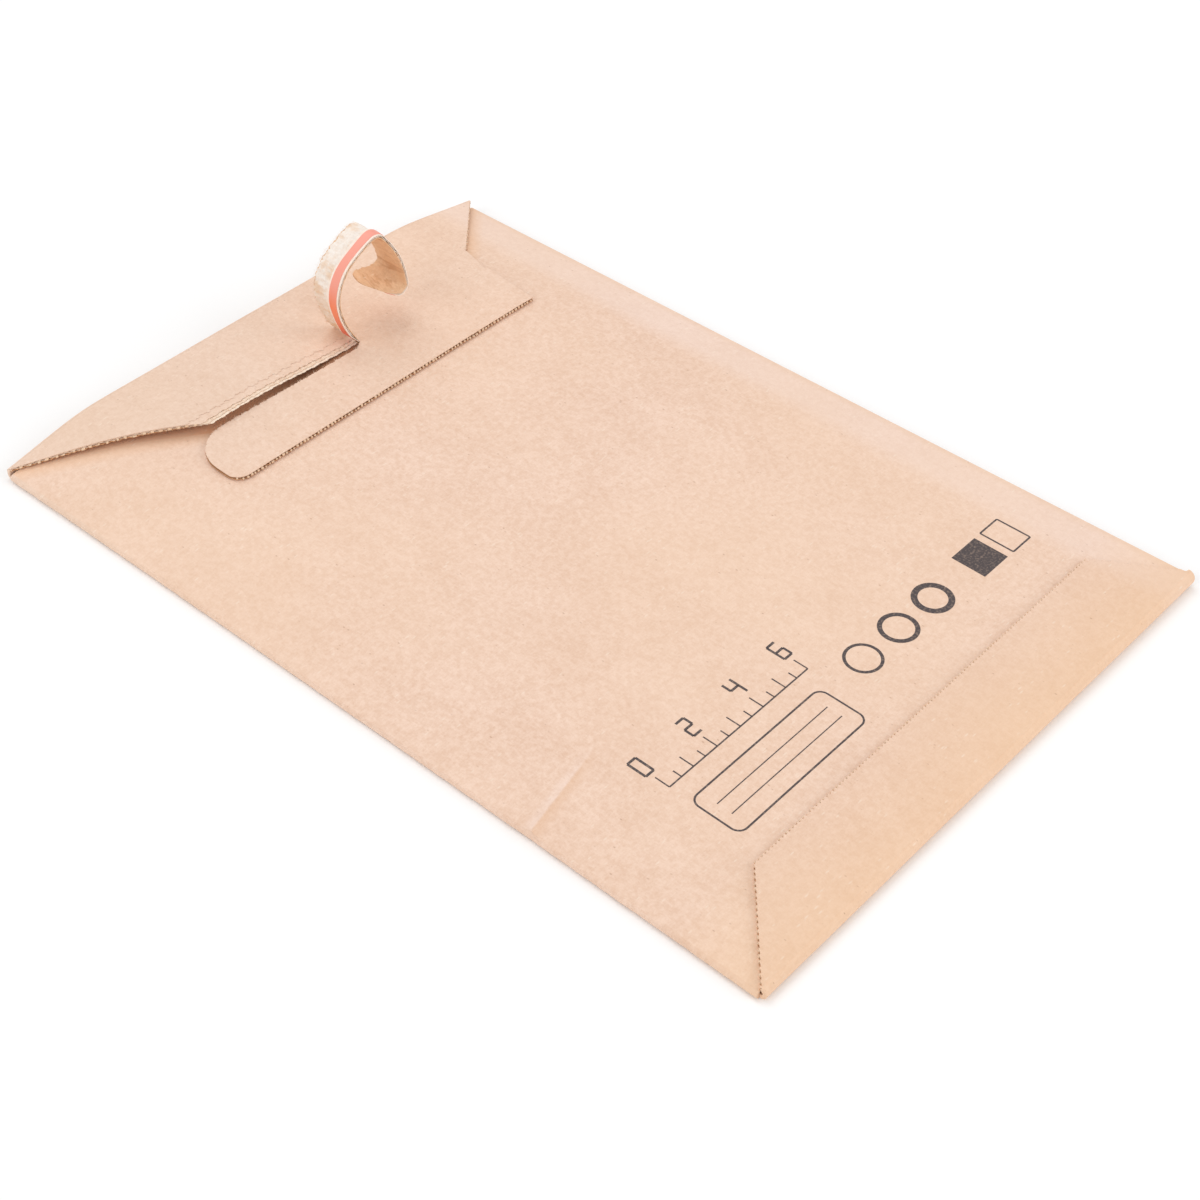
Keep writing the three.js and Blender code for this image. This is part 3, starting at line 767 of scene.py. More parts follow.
def red_tape():
    """The tear tape's film, whose change of tone with height is painted light: red in painted shade at its
    root, orange higher up and pink as a painted highlight at the top.
    """
    s = Shader("tear_tape_film")
    grain = s.noise((900, 900, 900), 3, 0.6)
    streaks = s.noise((160, 2400, 160), 2, 0.5)
    tone = s.ramp(s.times(s.math("ADD", grain, streaks), 0.5), 0.35, 0.65)
    height = s.axes()["Z"]
    # Painted shade at the root and painted highlight at the top, by height
    lower = s.mix(s.fade(height, TAPE_ORANGE_FADE), rgb(222, 84, 54), rgb(250, 132, 88))
    film = s.mix(s.fade(height, TAPE_PINK_FADE), lower, rgb(248, 160, 142))
    worn = s.mix(s.times(tone, 0.3), film, rgb(250, 170, 144))
    s.colour(worn, s.ramp(tone, 0, 1, 0.38, 0.6))
    s.bump(streaks, 0.2, 0.1)
    return s.material


def glue():
    s = Shader("dried_glue")
    tone = s.noise((300, 300, 300), 3, 0.6)
    s.colour(s.mix(tone, rgb(214, 190, 150), rgb(236, 222, 194)), s.ramp(tone, 0, 1, 0.3, 0.5))
    s.bump(tone, 0.3, 0.2)
    return s.material


def ink():
    s = Shader("printing_ink")
    coverage = s.ramp(s.noise((1300, 1300, 1300), 3, 0.6), 0.34, 0.5)
    s.colour(s.mix(coverage, rgb(128, 110, 100), rgb(78, 68, 68)), 0.7)
    s.bump(coverage, 0.15, 0.05)
    return s.material


def floor_paint():
    s = Shader("floor_paint")
    s.colour(s.mix(s.noise((6, 6, 6), 2), grey(0.985), grey(0.995)), 0.9)
    return s.material


materials = {
    "kraft": paper("kraft_outer", KRAFT, 0.3, flap_tint),
    "panel": paper("kraft_panel", KRAFT, 0.3, panel_tone_and_painted_light),
    "inner": paper("kraft_inner", KRAFT_INSIDE),
    "torn_inner": paper("torn_inner", KRAFT_INSIDE, 0.6, torn_inner_tint),
    "core": paper("fluting_core", CORE_AND_PAINTED_SHADE, 0.4),
    "torn": paper("torn_ply", TORN, 0.7),
    "nub": paper("torn_nub", NUB, 0.5),
    "fluff": paper("torn_fluting", FLUFFED, 0.9, fluff_tint),
    "curled": paper("curled_kraft", KRAFT_CURLED, 0.5, curled_tint),
    "tape_paper": paper("tape_paper", TAPE_PAPER, 0.4),
    "tape": red_tape(),
    "glue": glue(),
    "ink": ink(),
    "floor": floor_paint(),
}


# Perforated edges

def edge_nubs(name, body, span, edge, side, surface, pitch=NICK_PITCH):
    """Torn nubs between the cuts of a perforated edge. side is 1 where the board lies above it."""
    points = []
    faces = []
    start, end = span
    for k in range(math.ceil(start / pitch), math.floor(end / pitch) + 1):
        x = (k + rng.uniform(-NUB_WANDER, NUB_WANDER)) * pitch
        slope = float(edge(x + SLOPE_STEP) - edge(x - SLOPE_STEP)) / (2 * SLOPE_STEP)
        out = np.array([slope, -1]) * side / math.hypot(slope, 1)
        along = np.array([-out[1], out[0]])
        half = NUB_SHARE / 2 * pitch * rng.uniform(*NUB_WIDTHS)
        reach = NUB_REACH * rng.uniform(*NUB_REACHES)
        bottom = BOARD * rng.uniform(*NUB_BOTTOMS)
        top = bottom + BOARD * rng.uniform(*NUB_HEIGHTS)
        tip = NUB_TIP * half
        first = len(points)
        for step, outward in ((-half, -NUB_ROOT), (half, -NUB_ROOT), (tip, reach), (-tip, reach)):
            px, py = np.array([x, float(edge(x))]) + along * step + out * outward
            z = float(surface(px, py))
            points.extend([(px, py, z + bottom), (px, py, z + top)])
        for corner in range(4):
            a = first + 2 * corner
            b = first + 2 * ((corner + 1) % 4)
            faces.append((a, b, b + 1, a + 1))
        faces.append([first + 1 + 2 * corner for corner in range(4)])
        faces.append([first + 6 - 2 * corner for corner in range(4)])
    belongs(add_mesh(name, points, faces, "nub"), body, "fluted_medium")


# Pouch

# Turns of a half round fold, from its lower to its upper end
HALF_ROUND = np.linspace(-math.pi / 2, math.pi / 2, HALF_ROUND_TURNS)


def back_panel():
    """The back panel, with rows that lie closer together at the crease."""
    before, after = CREASE_REACH
    length = BACK_MOUTH - BOTTOM_LINE
    near_crease = (spaced(CREASE_Y - before, CREASE_Y + after, CREASE_STEP) - BOTTOM_LINE) / length
    rows = np.unique(np.concatenate([np.linspace(0, 1, BACK_ROWS), near_crease]))
    core_rows = np.unique(np.concatenate([np.linspace(0, 1, BACK_CORE_ROWS), near_crease[::4]]))
    edges = cut_alike(lambda x: (BOTTOM_LINE + 0 * x, BACK_MOUTH + 0 * x))
    board("back", "pouch", (LEFT_LINE - FOLD_LAP / 2, BACK_RIGHT), PANEL_STEP, rows, back_surface, edges,
          ("inner", "core", "panel"), core_rows)


def left_bow(y):
    """How far the left fold's outside is drawn in: most at mid-length, and a little more at the crease."""
    return LEFT_BOW * (1 - (2 * y / LENGTH) ** 2) + CREASE_PULL * crease(LEFT_LINE, y)


def fold_wear(y):
    """Slight unevenness of a rubbed fold."""
    return FOLD_WEAR * np.sin(y / 3.1) * np.sin(y / 7.3) + FOLD_FINE_WEAR * np.sin(y / 1.3 + np.sin(y / 5))


def side_fold(name, line, sign, radius):
    """Half round of the board folded over on itself. sign is -1 for the left fold."""
    ys = spaced(BOTTOM_LINE + FOLD_ROOM, BACK_MOUTH, SIDE_FOLD_STEP)

    def place(y, turn, side):
        r = radius - (BOARD if side else 0)
        bow = left_bow(y) if sign < 0 else 0
        pressed = crease(LEFT_LINE, y) * np.maximum(0, np.sin(turn)) if sign < 0 else 0
        reach = r if side else r + fold_wear(y) - bow
        return line + sign * reach * np.cos(turn), y, radius + r * np.sin(turn) + pressed

    fold = slab(f"{name}_look", ys, HALF_ROUND, place, "kraft")
    belongs(fold, "pouch", "folded_board", name)


def bottom_fold():
    """Half round from the front panel up to the bottom flap."""
    def place(x, turn, side):
        inward = BOARD if side else 0
        half = (bottom_flap_surface(x, BOTTOM_LINE) + BOARD) / 2
        y = BOTTOM_LINE - (FOLD_DEPTH - inward) * np.cos(turn)
        return x, y, half + (half - inward) * np.sin(turn)

    xs = spaced(LEFT_LINE, RIGHT_LINE, FOLD_STEP)
    fold = slab("bottom_fold_look", xs, HALF_ROUND, place, "kraft")
    belongs(fold, "pouch", "folded_board", "bottom_fold")


def bottom_flap_cut(x):
    """Cut edge of the bottom flap, with its two slanted ends."""
    left = (x - LEFT_LINE) / BOTTOM_FLAP_LEFT
    right = (RIGHT_LINE - x) / BOTTOM_FLAP_RIGHT
    share = np.clip(np.minimum(left, right), LEAST_SHARE, 1)
    return BOTTOM_LINE + (BOTTOM_FLAP_EDGE - BOTTOM_LINE) * share


def bottom_flap():
    def edges(x):
        return BOTTOM_LINE - FOLD_LAP + 0 * x, bottom_flap_cut(x) - nicked(x)

    def lip(x, y):
        return blade_lip(x, edges(x)[1] - y)

    board("bottom_flap", "pouch", (LEFT_LINE, RIGHT_LINE), EDGE_STEP, towards_edges(BOTTOM_FLAP_ROWS),
          bottom_flap_surface, cut_alike(edges), crush=lip)
    edge_nubs("bottom_flap_nubs", "pouch", (LEFT_LINE + NUB_MARGIN, RIGHT_LINE - NUB_MARGIN),
              bottom_flap_cut, -1, bottom_flap_surface)


# Tongue

def corner_drop(x, start, radius):
    """How far a rounded corner that begins at start has still to go, at a place across."""
    t = np.clip((x - start) / radius, 0, 1)
    return radius * (1 - np.sqrt(1 - (1 - t) ** 2))


def tongue_cut(x):
    return TONGUE_BOTTOM + corner_drop(x, TONGUE_LEFT, TONGUE_CORNER)


def tongue_edges(seed, size, back, shade=0.0):
    """Edges of one of the tongue's plies, torn back where the strip is pulled out."""
    def edges(x):
        low = tongue_cut(x) + nicked(x) + shade
        slot = SLOT_WIDENING * smooth((x - SLOT_START) / SLOT_LENGTH)
        torn = smooth((STRIP_ROOT - x) / TEAR_RUN)
        high = STRIP_NEAR - SEAM - torn * (back + slot + np.abs(ragged(x, seed, size)))
        high = high - corner_drop(x, TONGUE_LEFT, TONGUE_SHOULDER) * torn
        return low, np.maximum(low + TONGUE_LEAST, high)

    return edges


TONGUE_PLIES = {
    "inner": tongue_edges(1.0, 0.2, 0.0),
    "medium": tongue_edges(2.0, 0.25, 0.1, CUT_SHADE),
    "outer": tongue_edges(3.0, 0.2, 0.1),
}


def flared(right, bottom):
    """Shear that slants a board's right end outwards, from its bottom line to the strip's far edge."""
    def shear(x, y):
        share = smooth((x - right + FLARE_LENGTH) / FLARE_LENGTH)
        return share * STRIP_FLARE * (y - bottom) / (STRIP_FAR - bottom)

    return shear


def tongue():
    def lip(x, y):
        return blade_lip(x, y - TONGUE_PLIES["inner"](x)[0])

    board("tongue", "pouch", (TONGUE_LEFT, TONGUE_RIGHT), EDGE_STEP, towards_edges(TONGUE_ROWS),
          tongue_surface, TONGUE_PLIES, shear=flared(TONGUE_RIGHT, TONGUE_BOTTOM), crush=lip)
    edge_nubs("tongue_nubs", "pouch", (TONGUE_LEFT + NUB_MARGIN, TONGUE_RIGHT - NUB_MARGIN), tongue_cut, 1,
              tongue_surface)


# Closure flap

# For each ply, where it is torn, the seed of its ragged edge and how ragged that is
FLAP_TEARS = {
    "inner": (TORN_INNER, 1.5, 0.12),
    "medium": (TORN_MEDIUM, 2.5, 0.16),
    "outer": (TORN_OUTER, 3.5, 0.14),
    "skin": (TORN_SKIN, 4.5, 0.35),
}


def flap_cut(x):
    """The slanted cuts of the flap's two ends."""
    from_left = MOUTH_LINE - (x - FLAP_LEFT) * FLAP_LEFT_SLOPE
    from_right = MOUTH_LINE - (FLAP_RIGHT - x) * FLAP_RIGHT_SLOPE
    return np.maximum(from_left, from_right)


def flap_edges(torn, seed, size):
    """Edges of one of the flap's plies: below its cuts and its tear, and above the fold."""
    def edges(x):
        drop = TORN_DROP * smooth((STRIP_ROOT - x) / TORN_DROP_LENGTH)
        tear = np.where(x < STRIP_ROOT, torn - drop + ragged(x, seed, size), STRIP_FAR + SEAM)
        low = np.maximum(flap_cut(x) + nicked(x), tear)
        return np.minimum(low, FLAP_TOP - FLAP_LEAST), FLAP_TOP + 0 * x

    return edges


def torn_crush(x, y):
    """The board is pressed thinner towards its tear."""
    torn = smooth((STRIP_ROOT - x) / CRUSH_RUN)
    pressed = 1 - CRUSH * torn * np.exp(-np.maximum(0, y - TORN_MEDIUM) / CRUSH_LENGTH)
    return pressed * blade_lip(x, y - flap_cut(x))


def closure_flap():
    edges = {ply_name: flap_edges(*tear) for ply_name, tear in FLAP_TEARS.items()}
    board("flap", "closure_flap", (FLAP_LEFT, FLAP_RIGHT), EDGE_STEP, towards_edges(FLAP_ROWS),
          flap_surface, edges, ("torn_inner", "torn", "kraft"), crush=torn_crush)
    cuts = {
        "flap_left_nubs": (FLAP_LEFT + NUB_MARGIN, FLAP_LEFT_CUT_END),
        "flap_right_nubs": (FLAP_RIGHT_CUT_START, FLAP_RIGHT - NUB_MARGIN),
    }
    for name, span in cuts.items():
        edge_nubs(name, "closure_flap", span, flap_cut, 1, flap_surface, FLUTE_PITCH)


def flap_skin():
    """Outermost skin of the flap, which the tear pulled off farther back than the plies."""
    def thickness(x, y):
        beside = smooth((STRIP_ROOT + SKIN_SIDE / 2 - x) / SKIN_SIDE)
        below = smooth((MOUTH_LINE - SKIN_TOP - y) / SKIN_TOP_FADE)
        return torn_crush(x, y) + SKIN / BOARD * beside * below

    xs = spaced(FLAP_LEFT, STRIP_ROOT + SKIN_SIDE, EDGE_STEP)
    level = flat(BOARD - SKIN_OVERLAP, BOARD + SKIN_LIFT)
    skin = ply("flap_skin_look", xs, towards_edges(FLAP_ROWS), flap_edges(*FLAP_TEARS["skin"]),
               flap_surface, level, "kraft", crush=thickness)
    belongs(skin, "closure_flap", "kraft_liner")


def flap_fold():
    """Rounded channel from under the front panel up to the flap."""
    bends = np.linspace(0, 1, FLAP_FOLD_BENDS)

    def place(x, bend, side):
        r = MOUTH_FOLD_RADIUS - (BOARD if side else 0)
        height = flap_surface(x, MOUTH_LINE) + BOARD
        turn = np.where(bend < 0.5, -math.pi / 2 + math.pi * bend, math.pi * (bend - 0.5))
        middle = np.where(bend < 0.5, MOUTH_FOLD_RADIUS, height - MOUTH_FOLD_RADIUS)
        return x, MOUTH_LINE + r * np.cos(turn), middle + r * np.sin(turn)

    fold = slab("flap_fold_look", spaced(FLAP_LEFT, FLAP_RIGHT, FOLD_STEP), bends, place, "kraft")
    belongs(fold, "closure_flap", "folded_board", "flap_fold")


# Tear strip

def held_strip():
    edges = cut_alike(lambda x: (STRIP_NEAR + 0 * x, STRIP_FAR - SEAM + 0 * x))
    board("strip", "tear_strip", (STRIP_ROOT, STRIP_RIGHT), STRIP_STEP, np.linspace(0, 1, STRIP_ROWS),
          tongue_surface, edges, shear=flared(STRIP_RIGHT, STRIP_NEAR))


def curl_path(skew):
    """Length, place and heading along one edge of the curl, with a straight spare at its end."""
    x, z = CURL_ROOT
    heading = math.radians(CURL_HEADING)
    length = 0
    path = [(length, x, z, heading)]
    moved = {CURL_DESCENT: -skew, len(CURL_ARCS) - 1: skew}
    for arc, (radius, turn) in enumerate(CURL_ARCS):
        span = radius * math.radians(turn) + moved.get(arc, 0)
        steps = max(4, round(span / CURL_STEP))
        step = span / radius / steps
        for _ in range(steps):
            chord = 2 * radius * math.sin(step / 2)
            x += chord * math.cos(heading - step / 2)
            z += chord * math.sin(heading - step / 2)
            heading -= step
            length += chord
            path.append((length, x, z, heading))
    x += CURL_SPARE * math.cos(heading)
    z += CURL_SPARE * math.sin(heading)
    path.append((length + CURL_SPARE, x, z, heading))
    return np.array(path).T


NEAR_PATH = curl_path(0)
FAR_PATH = curl_path(CURL_SKEW)
CURL_LENGTH = min(NEAR_PATH[0][-1], FAR_PATH[0][-1]) - CURL_SPARE


def on_curl(length, y, out):
    """A place on the curl, between the paths of its two edges."""
    share = (y - STRIP_NEAR) / STRIP_WIDTH
    places = []
    for path in (NEAR_PATH, FAR_PATH):
        x, z, heading = (np.interp(length, path[0], path[k]) for k in (1, 2, 3))
        places.append((x - out * np.sin(heading), z + out * np.cos(heading)))
    (near_x, near_z), (far_x, far_z) = places
    return near_x + share * (far_x - near_x), near_z + share * (far_z - near_z)


def root_crush(length):
    """The plies are pressed together where the curl bends out of the board."""
    return ROOT_THICKNESS + (1 - ROOT_THICKNESS) * smooth(length / ROOT_CRUSH_LENGTH)


def curl_half_width(length):
    into = np.clip((length - (CURL_LENGTH - CURL_TIP)) / CURL_TIP, 0, 1)
    share = CURL_TIP_WIDTH + (1 - CURL_TIP_WIDTH) * np.sqrt(1 - into ** 2)
    return STRIP_WIDTH / 2 * share


def curl_near(length):
    return CURL_MIDDLE - curl_half_width(length) + ragged(length, *NEAR_TEAR)


def curl_far(length):
    return CURL_MIDDLE + curl_half_width(length) + ragged(length, *FAR_TEAR)


def fluff_far(length):
    return curl_far(length) - FLUFF_INSET - np.abs(ragged(length, *FLUFF_TEAR))


def tape_paper_far(length):
    return STRIP_NEAR + CURL_INNER_WIDTH + ragged(length, *TAPE_PAPER_TEAR)


def straight(y):
    """An edge that keeps its place along the whole curl."""
    return lambda length: y + 0 * length


def curl_wave(length, y):
    return CURL_WAVE * np.sin(length / CURL_WAVE_LENGTH + y) * smooth(length / CURL_WAVE_START)


def layer(bottom, thickness):
    """Heights of a flat layer of the curl."""
    return lambda length, y, side: bottom + side * thickness + curl_wave(length, y)


def fluff_level(length, y, side):
    """Heights of the fluting, which is torn open and pulled to fluff."""
    fluffed = FLUFF * np.sin(2.3 * y + 1.7 * length) + FINE_FLUFF * np.sin(5.1 * y - 0.9 * length)
    wave = CURL_FLUTE_AMPLITUDE * np.sin(2 * math.pi * length / FLUTE_PITCH)
    return MEDIUM_LEVEL + wave + side * MEDIUM + fluffed + curl_wave(length, y)


def curl_ply(name, span, near, far, level, look, slot, node, step=STRIP_STEP):
    """One layer of the curl. near and far give its two edges, and level its height, along the strip."""
    def place(length, v, side):
        y = near(length) + v * (far(length) - near(length))
        into_tip = smooth((length - (CURL_LENGTH - CURL_TIP_LENGTH)) / CURL_TIP_LENGTH)
        off_middle = (y - STRIP_NEAR) / STRIP_WIDTH * 2 - 1
        length = length + CURL_TIP_ROUNDING * into_tip * (CURL_TIP_BALANCE - off_middle ** 2)
        x, z = on_curl(length, y, level(length, y, side) * root_crush(length))
        return x, y, z

    obj = slab(name, spaced(*span, step), np.linspace(0, 1, STRIP_ROWS), place, look)
    belongs(obj, "strip_curl", slot, node)


def curl():
    fluff_span = (0.3, CURL_LENGTH - 2)
    tape_span = (0, CURL_LENGTH - CURL_TIP)
    tape_near = STRIP_NEAR + TAPE_INSET
    curl_ply("curl_outer_look", (0, CURL_LENGTH), curl_near, curl_far, layer(0, LINER),
             "curled", "kraft_liner", "curl_outer_liner")
    curl_ply("curl_medium_look", fluff_span, curl_near, fluff_far, fluff_level,
             "fluff", "fluted_medium", "curl_fluting", FLUTE_PITCH / 8)
    curl_ply("curl_inner_look", tape_span, straight(STRIP_NEAR), tape_paper_far,
             layer(BOARD - LINER, LINER), "tape_paper", "inner_liner", "curl_inner_liner")
    curl_ply("curl_tape_look", tape_span, straight(tape_near), straight(tape_near + TAPE_WIDTH),
             layer(BOARD + TAPE_GLUE, TAPE_THICK), "tape", "tear_tape", "curl_tear_tape")


# Torn fibres

def strand(place, out, length, width):
    """Four pairs of points along one short fibre, which droops and grows thinner."""
    out = out + np.array([rng.uniform(-FIBRE_SPREAD, FIBRE_SPREAD) for _ in range(3)])
    out = out / np.linalg.norm(out)
    side = np.cross(out, [rng.uniform(-1, 1), rng.uniform(-1, 1), 1])
    side = side / np.linalg.norm(side) * width * rng.uniform(*FIBRE_WIDTHS)
    reach = length * rng.uniform(*FIBRE_LENGTHS)
    droop = np.array([rng.uniform(*FIBRE_DROOP_ACROSS), 0, rng.uniform(*FIBRE_DROOP_UP)]) * reach
    points = []
    for t in FIBRE_SHARES:
        centre = place + out * reach * t + droop * t * t
        half = side * (1 - FIBRE_TAPER * t) / 2
        points.extend([centre - half, centre + half])
    return points


def fringe(name, body, slot, count, root, look, length=FIBRE_LENGTH, width=FIBRE_WIDTH):
    """Short fibres of torn paper. root gives a place and an outward direction for each."""
    points = []
    faces = []
    for _ in range(count):
        place, out = root()
        start = len(points)
        points.extend(strand(np.array(place), np.array(out), length, width))
        faces.extend([(start + k, start + k + 1, start + k + 3, start + k + 2) for k in (0, 2, 4)])
    belongs(add_mesh(name, points, faces, look), body, slot)


def tongue_root():
    x = rng.uniform(TONGUE_FIBRE_START, STRIP_ROOT - FIBRE_MARGIN)
    y = float(TONGUE_PLIES["outer"](np.array(x))[1]) - FIBRE_ROOT
    return (x, y, float(tongue_surface(x, y)) + BOARD * rng.uniform(0.6, 1.0)), (0, 0.5, 0.45)


def flap_root(ply_name, level):
    torn, seed, _ = FLAP_TEARS[ply_name]

    def root():
        x = rng.uniform(FLAP_FIBRE_START, STRIP_ROOT - FIBRE_MARGIN)
        y = float(flap_edges(torn, seed, FLAP_FIBRE_SPREAD)(np.array(x))[0]) + FIBRE_ROOT
        return (x, y, float(flap_surface(x, y)) + level), (0, -0.8, 0.2)

    return root


def fluff_root():
    length = rng.uniform(3 * FIBRE_MARGIN, CURL_LENGTH - FIBRE_MARGIN)
    y = CURL_MIDDLE + float(curl_half_width(length)) - 2 * FIBRE_ROOT
    x, z = on_curl(length, y, rng.uniform(0.2, 1.0))
    return (float(x), y, float(z)), (0, 0.9, 0.1)


def rim_root():
    length = rng.uniform(ROOT_CRUSH_LENGTH, CURL_LENGTH - CURL_TIP_LENGTH)
    x, z = on_curl(length, STRIP_NEAR, rng.uniform(0.3, 1.0))
    return (float(x), STRIP_NEAR + FIBRE_ROOT, float(z)), (0, -0.7, 0.1)


def torn_fibres():
    fringe("tongue_fibres", "pouch", "kraft_liner", 520, tongue_root, "torn")
    fringe("flap_inner_fibres", "closure_flap", "inner_liner", 160, flap_root("inner", 0.2), "torn")
    fringe("flap_medium_fibres", "closure_flap", "fluted_medium", 160, flap_root("medium", 0.4), "torn")
    fringe("flap_outer_fibres", "closure_flap", "kraft_liner", 200, flap_root("outer", 0.6), "torn")
    fringe("curl_fibres", "strip_curl", "fluted_medium", 700, fluff_root, "fluff")
    fringe("curl_rim_fibres", "strip_curl", "inner_liner", 700, rim_root, "tape_paper",
           RIM_FIBRE_LENGTH, RIM_FIBRE_WIDTH)


# Plain printed marks on the back panel

INK_HEIGHT = 0.025

# A scale with plain numbers
SCALE_LEFT = -66
SCALE_BASE = -88
TICK_GAP = 5
TICKS = 13
SHORT_TICK = 3
LONG_TICK = 5
SCALE_WIDTH = 0.5
TICK_WIDTH = 0.45
NUMBER_HEIGHT = 6.5
NUMBER_WIDTH = 0.8
NUMBER_RISE = 7
NUMBER_SHIFT = 1.5

# An empty label with two ruled lines
LABEL = (-66, -112, -10, -95)
LABEL_ROUNDING = 3
LABEL_WIDTH = 0.6
RULES = (-101, -106)
RULE_INSET = 4
RULE_WIDTH = 0.35

# Rings, of which each next one has a thicker line, and a full and an empty square
RINGS = (8, 25, 42)
RING_Y = -97
RING_RADIUS = 5.5
THINNEST_RING = 1.0
RING_GROWTH = 0.5
FULL_SQUARE = (60, 72)
EMPTY_SQUARE = (75, -103, 84, -91)
SQUARE_ROUNDING = 0.4

SEGMENTS = {
    "top": ((0, 2), (1, 2)), "middle": ((0, 1), (1, 1)), "bottom": ((0, 0), (1, 0)),
    "upper_left": ((0, 1), (0, 2)), "upper_right": ((1, 1), (1, 2)),
    "lower_left": ((0, 0), (0, 1)), "lower_right": ((1, 0), (1, 1)),
}
DIGITS = {
    0: "top bottom upper_left upper_right lower_left lower_right",
    2: "top middle bottom upper_right lower_left",
    4: "middle upper_left upper_right lower_right",
    6: "top middle bottom upper_left lower_left lower_right",
}


def resampled(points):
    """The same line with a point at least every millimetre, so that it follows the board."""
    points = np.array(points, float)
    dense = [points[:1]]
    for a, b in zip(points[:-1], points[1:]):
        count = max(1, math.ceil(np.linalg.norm(b - a)))
        dense.append(a + (b - a) * np.linspace(0, 1, count + 1)[1:, None])
    return np.concatenate(dense)


def stroke_sides(points, width):
    """The two edges of a flat band along a line of points."""
    steps = np.gradient(points, axis=0)
    normal = np.stack([-steps[:, 1], steps[:, 0]], axis=1)
    normal /= np.linalg.norm(normal, axis=1)[:, None]
    return points + normal * width / 2, points - normal * width / 2


def rounded_frame(x0, y0, x1, y1, radius):
    """Closed outline with four round corners."""
    points = []
    corners = [(x1 - radius, y1 - radius, 0), (x0 + radius, y1 - radius, 90),
               (x0 + radius, y0 + radius, 180), (x1 - radius, y0 + radius, 270)]
    for cx, cy, start in corners:
        for step in range(9):
            angle = math.radians(start + step * 90 / 8)
            points.append((cx + radius * math.cos(angle), cy + radius * math.sin(angle)))
    points.append(points[0])
    return points


def digit_strokes(digit, x, y):
    """A plain digit in straight strokes, as wide as half its height."""
    size = NUMBER_HEIGHT / 2
    strokes = []
    for part in DIGITS[digit].split():
        ends = [(x + right * size, y + up * size) for right, up in SEGMENTS[part]]
        strokes.append((ends, NUMBER_WIDTH))
    return strokes


def scale_strokes():
    end = SCALE_LEFT + (TICKS - 1) * TICK_GAP
    strokes = [([(SCALE_LEFT, SCALE_BASE), (end, SCALE_BASE)], SCALE_WIDTH)]
    for tick in range(TICKS):
        x = SCALE_LEFT + TICK_GAP * tick
        height = SHORT_TICK if tick % 2 else LONG_TICK
        strokes.append(([(x, SCALE_BASE), (x, SCALE_BASE + height)], TICK_WIDTH))
    for digit in DIGITS:
        x = SCALE_LEFT + 2 * TICK_GAP * digit - NUMBER_SHIFT
        strokes.extend(digit_strokes(digit, x, SCALE_BASE + NUMBER_RISE))
    return strokes


def label_strokes():
    left, _, right, _ = LABEL
    strokes = [(rounded_frame(*LABEL, LABEL_ROUNDING), LABEL_WIDTH)]
    for y in RULES:
        strokes.append(([(left + RULE_INSET, y), (right - RULE_INSET, y)], RULE_WIDTH))
    return strokes


def ring_and_square_strokes():
    strokes = []
    for place, x in enumerate(RINGS):
        turns = np.linspace(0, 2 * math.pi, 49)
        ring = [(x + RING_RADIUS * math.cos(turn), RING_Y + RING_RADIUS * math.sin(turn)) for turn in turns]
        strokes.append((ring, THINNEST_RING + RING_GROWTH * place))
    left, right = FULL_SQUARE
    strokes.append(([(left, RING_Y), (right, RING_Y)], right - left))
    strokes.append((rounded_frame(*EMPTY_SQUARE, SQUARE_ROUNDING), LABEL_WIDTH))
    return strokes


def printed_marks():
    """Bands of ink on the back panel. Each stroke is a line of points and a width."""
    places = []
    faces = []
    for points, width in scale_strokes() + label_strokes() + ring_and_square_strokes():
        left, right = stroke_sides(resampled(points), width)
        start = len(places)
        for pair in zip(left, right):
            places.extend(pair)
        firsts = range(start, len(places) - 2, 2)
        faces.extend([(first, first + 1, first + 3, first + 2) for first in firsts])
    flat_places = np.array(places)
    height = back_top(flat_places[:, 0], flat_places[:, 1]) + INK_HEIGHT
    marks = add_mesh("printed_marks", np.column_stack([flat_places, height]), faces, "ink")
    belongs(marks, "pouch", "kraft_liner")


# Stage

FLOOR_HALF = 1400
FLOOR_DROP = 0.2
WORLD_LIGHT = 0.62

# Name, place in metres, size and power of each lamp
LAMPS = [
    ("key", (0.3, 1.5, 2.7), 2.4, 26),
    ("side", (-3.6, 0.2, 2.4), 3.0, 40),
    ("front", (1.2, -2.6, 1.3), 2.4, 30),
]


def floor():
    corners = [(-1, -1), (1, -1), (1, 1), (-1, 1)]
    points = [(x * FLOOR_HALF, y * FLOOR_HALF, 0) for x, y in corners]
    obj = add_mesh("floor", points, [(0, 1, 2, 3)], "floor")
    obj.location.z = -FLOOR_DROP * MM


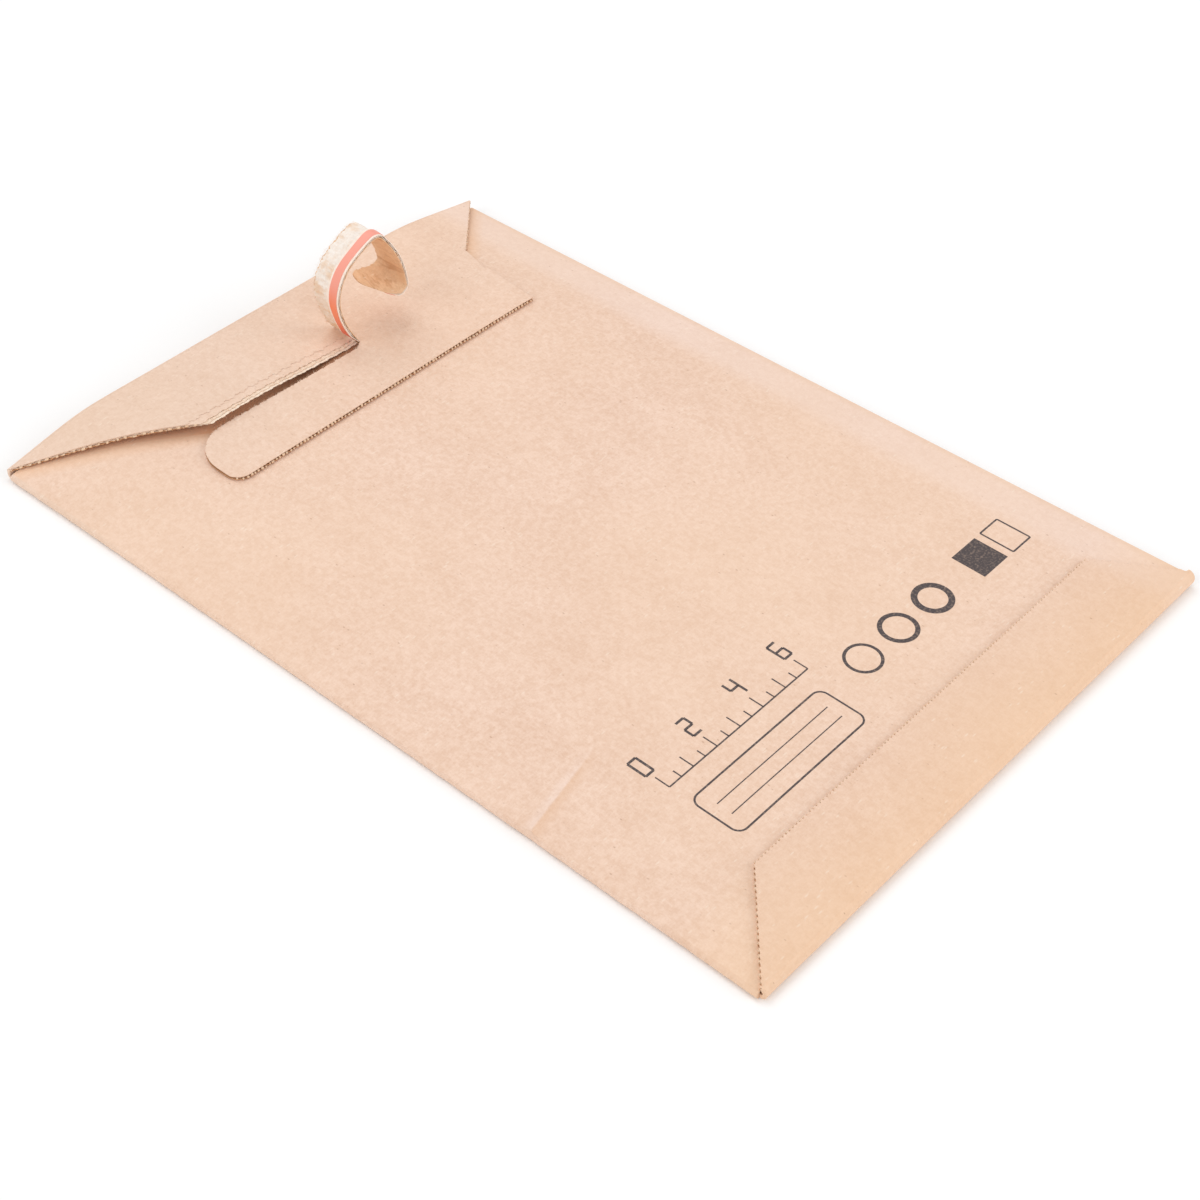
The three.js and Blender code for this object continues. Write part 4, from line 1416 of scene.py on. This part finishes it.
def lamp(name, place, size, power):
    """A round lamp that is turned towards the envelope."""
    data = bpy.data.lights.new(name, "AREA")
    data.shape = "DISK"
    data.size = size
    data.energy = power
    obj = add_object(name, data)
    obj.location = place
    obj.rotation_euler = (-Vector(place)).to_track_quat("-Z", "Y").to_euler()


def world():
    """A light grey world that the camera sees as white."""
    scene = bpy.context.scene
    scene.world = bpy.data.worlds.new("studio")
    scene.world.use_nodes = True
    nodes = scene.world.node_tree.nodes
    links = scene.world.node_tree.links
    background = nodes["Background"]
    rays = nodes.new("ShaderNodeLightPath")
    mix = nodes.new("ShaderNodeMix")
    mix.data_type = "RGBA"
    links.new(rays.outputs["Is Camera Ray"], mix.inputs["Factor"])
    mix.inputs["A"].default_value = grey(WORLD_LIGHT)
    mix.inputs["B"].default_value = grey(1)
    links.new(mix.outputs["Result"], background.inputs["Color"])
    background.inputs["Strength"].default_value = 1


def camera():
    data = bpy.data.cameras.new("camera")
    data.lens = CAMERA_LENS
    data.sensor_width = CAMERA_SENSOR
    obj = add_object("camera", data)
    obj.location = [value * MM for value in CAMERA_PLACE]
    obj.rotation_euler = [math.radians(angle) for angle in CAMERA_TURN]
    bpy.context.scene.camera = obj


def dress_frame():
    """Materials of the frame's own pieces that nothing replaces."""
    dressed = {
        "kraft": ("front_outer_liner", "glue_flap_outer_liner"),
        "inner": ("front_inner_liner", "glue_flap_inner_liner"),
        "core": ("front_core", "glue_flap_fluting"),
        "tape": ("strip_tear_tape",),
        "glue": ("side_seam_glue", "bottom_seam_glue", "closure_adhesive"),
    }
    for look, nodes in dressed.items():
        for node in nodes:
            slots = frame["nodes"][node].data.materials
            slots.clear()
            slots.append(materials[look])


dress_frame()
back_panel()
side_fold("left_fold", LEFT_LINE, -1, LEFT_FOLD_RADIUS)
side_fold("right_fold", RIGHT_LINE, 1, RIGHT_FOLD_RADIUS)
bottom_fold()
bottom_flap()
tongue()
closure_flap()
flap_skin()
flap_fold()
held_strip()
curl()
torn_fibres()
printed_marks()
floor()
for settings in LAMPS:
    lamp(*settings)
world()
camera()
bpy.context.scene.view_settings.view_transform = "Standard"
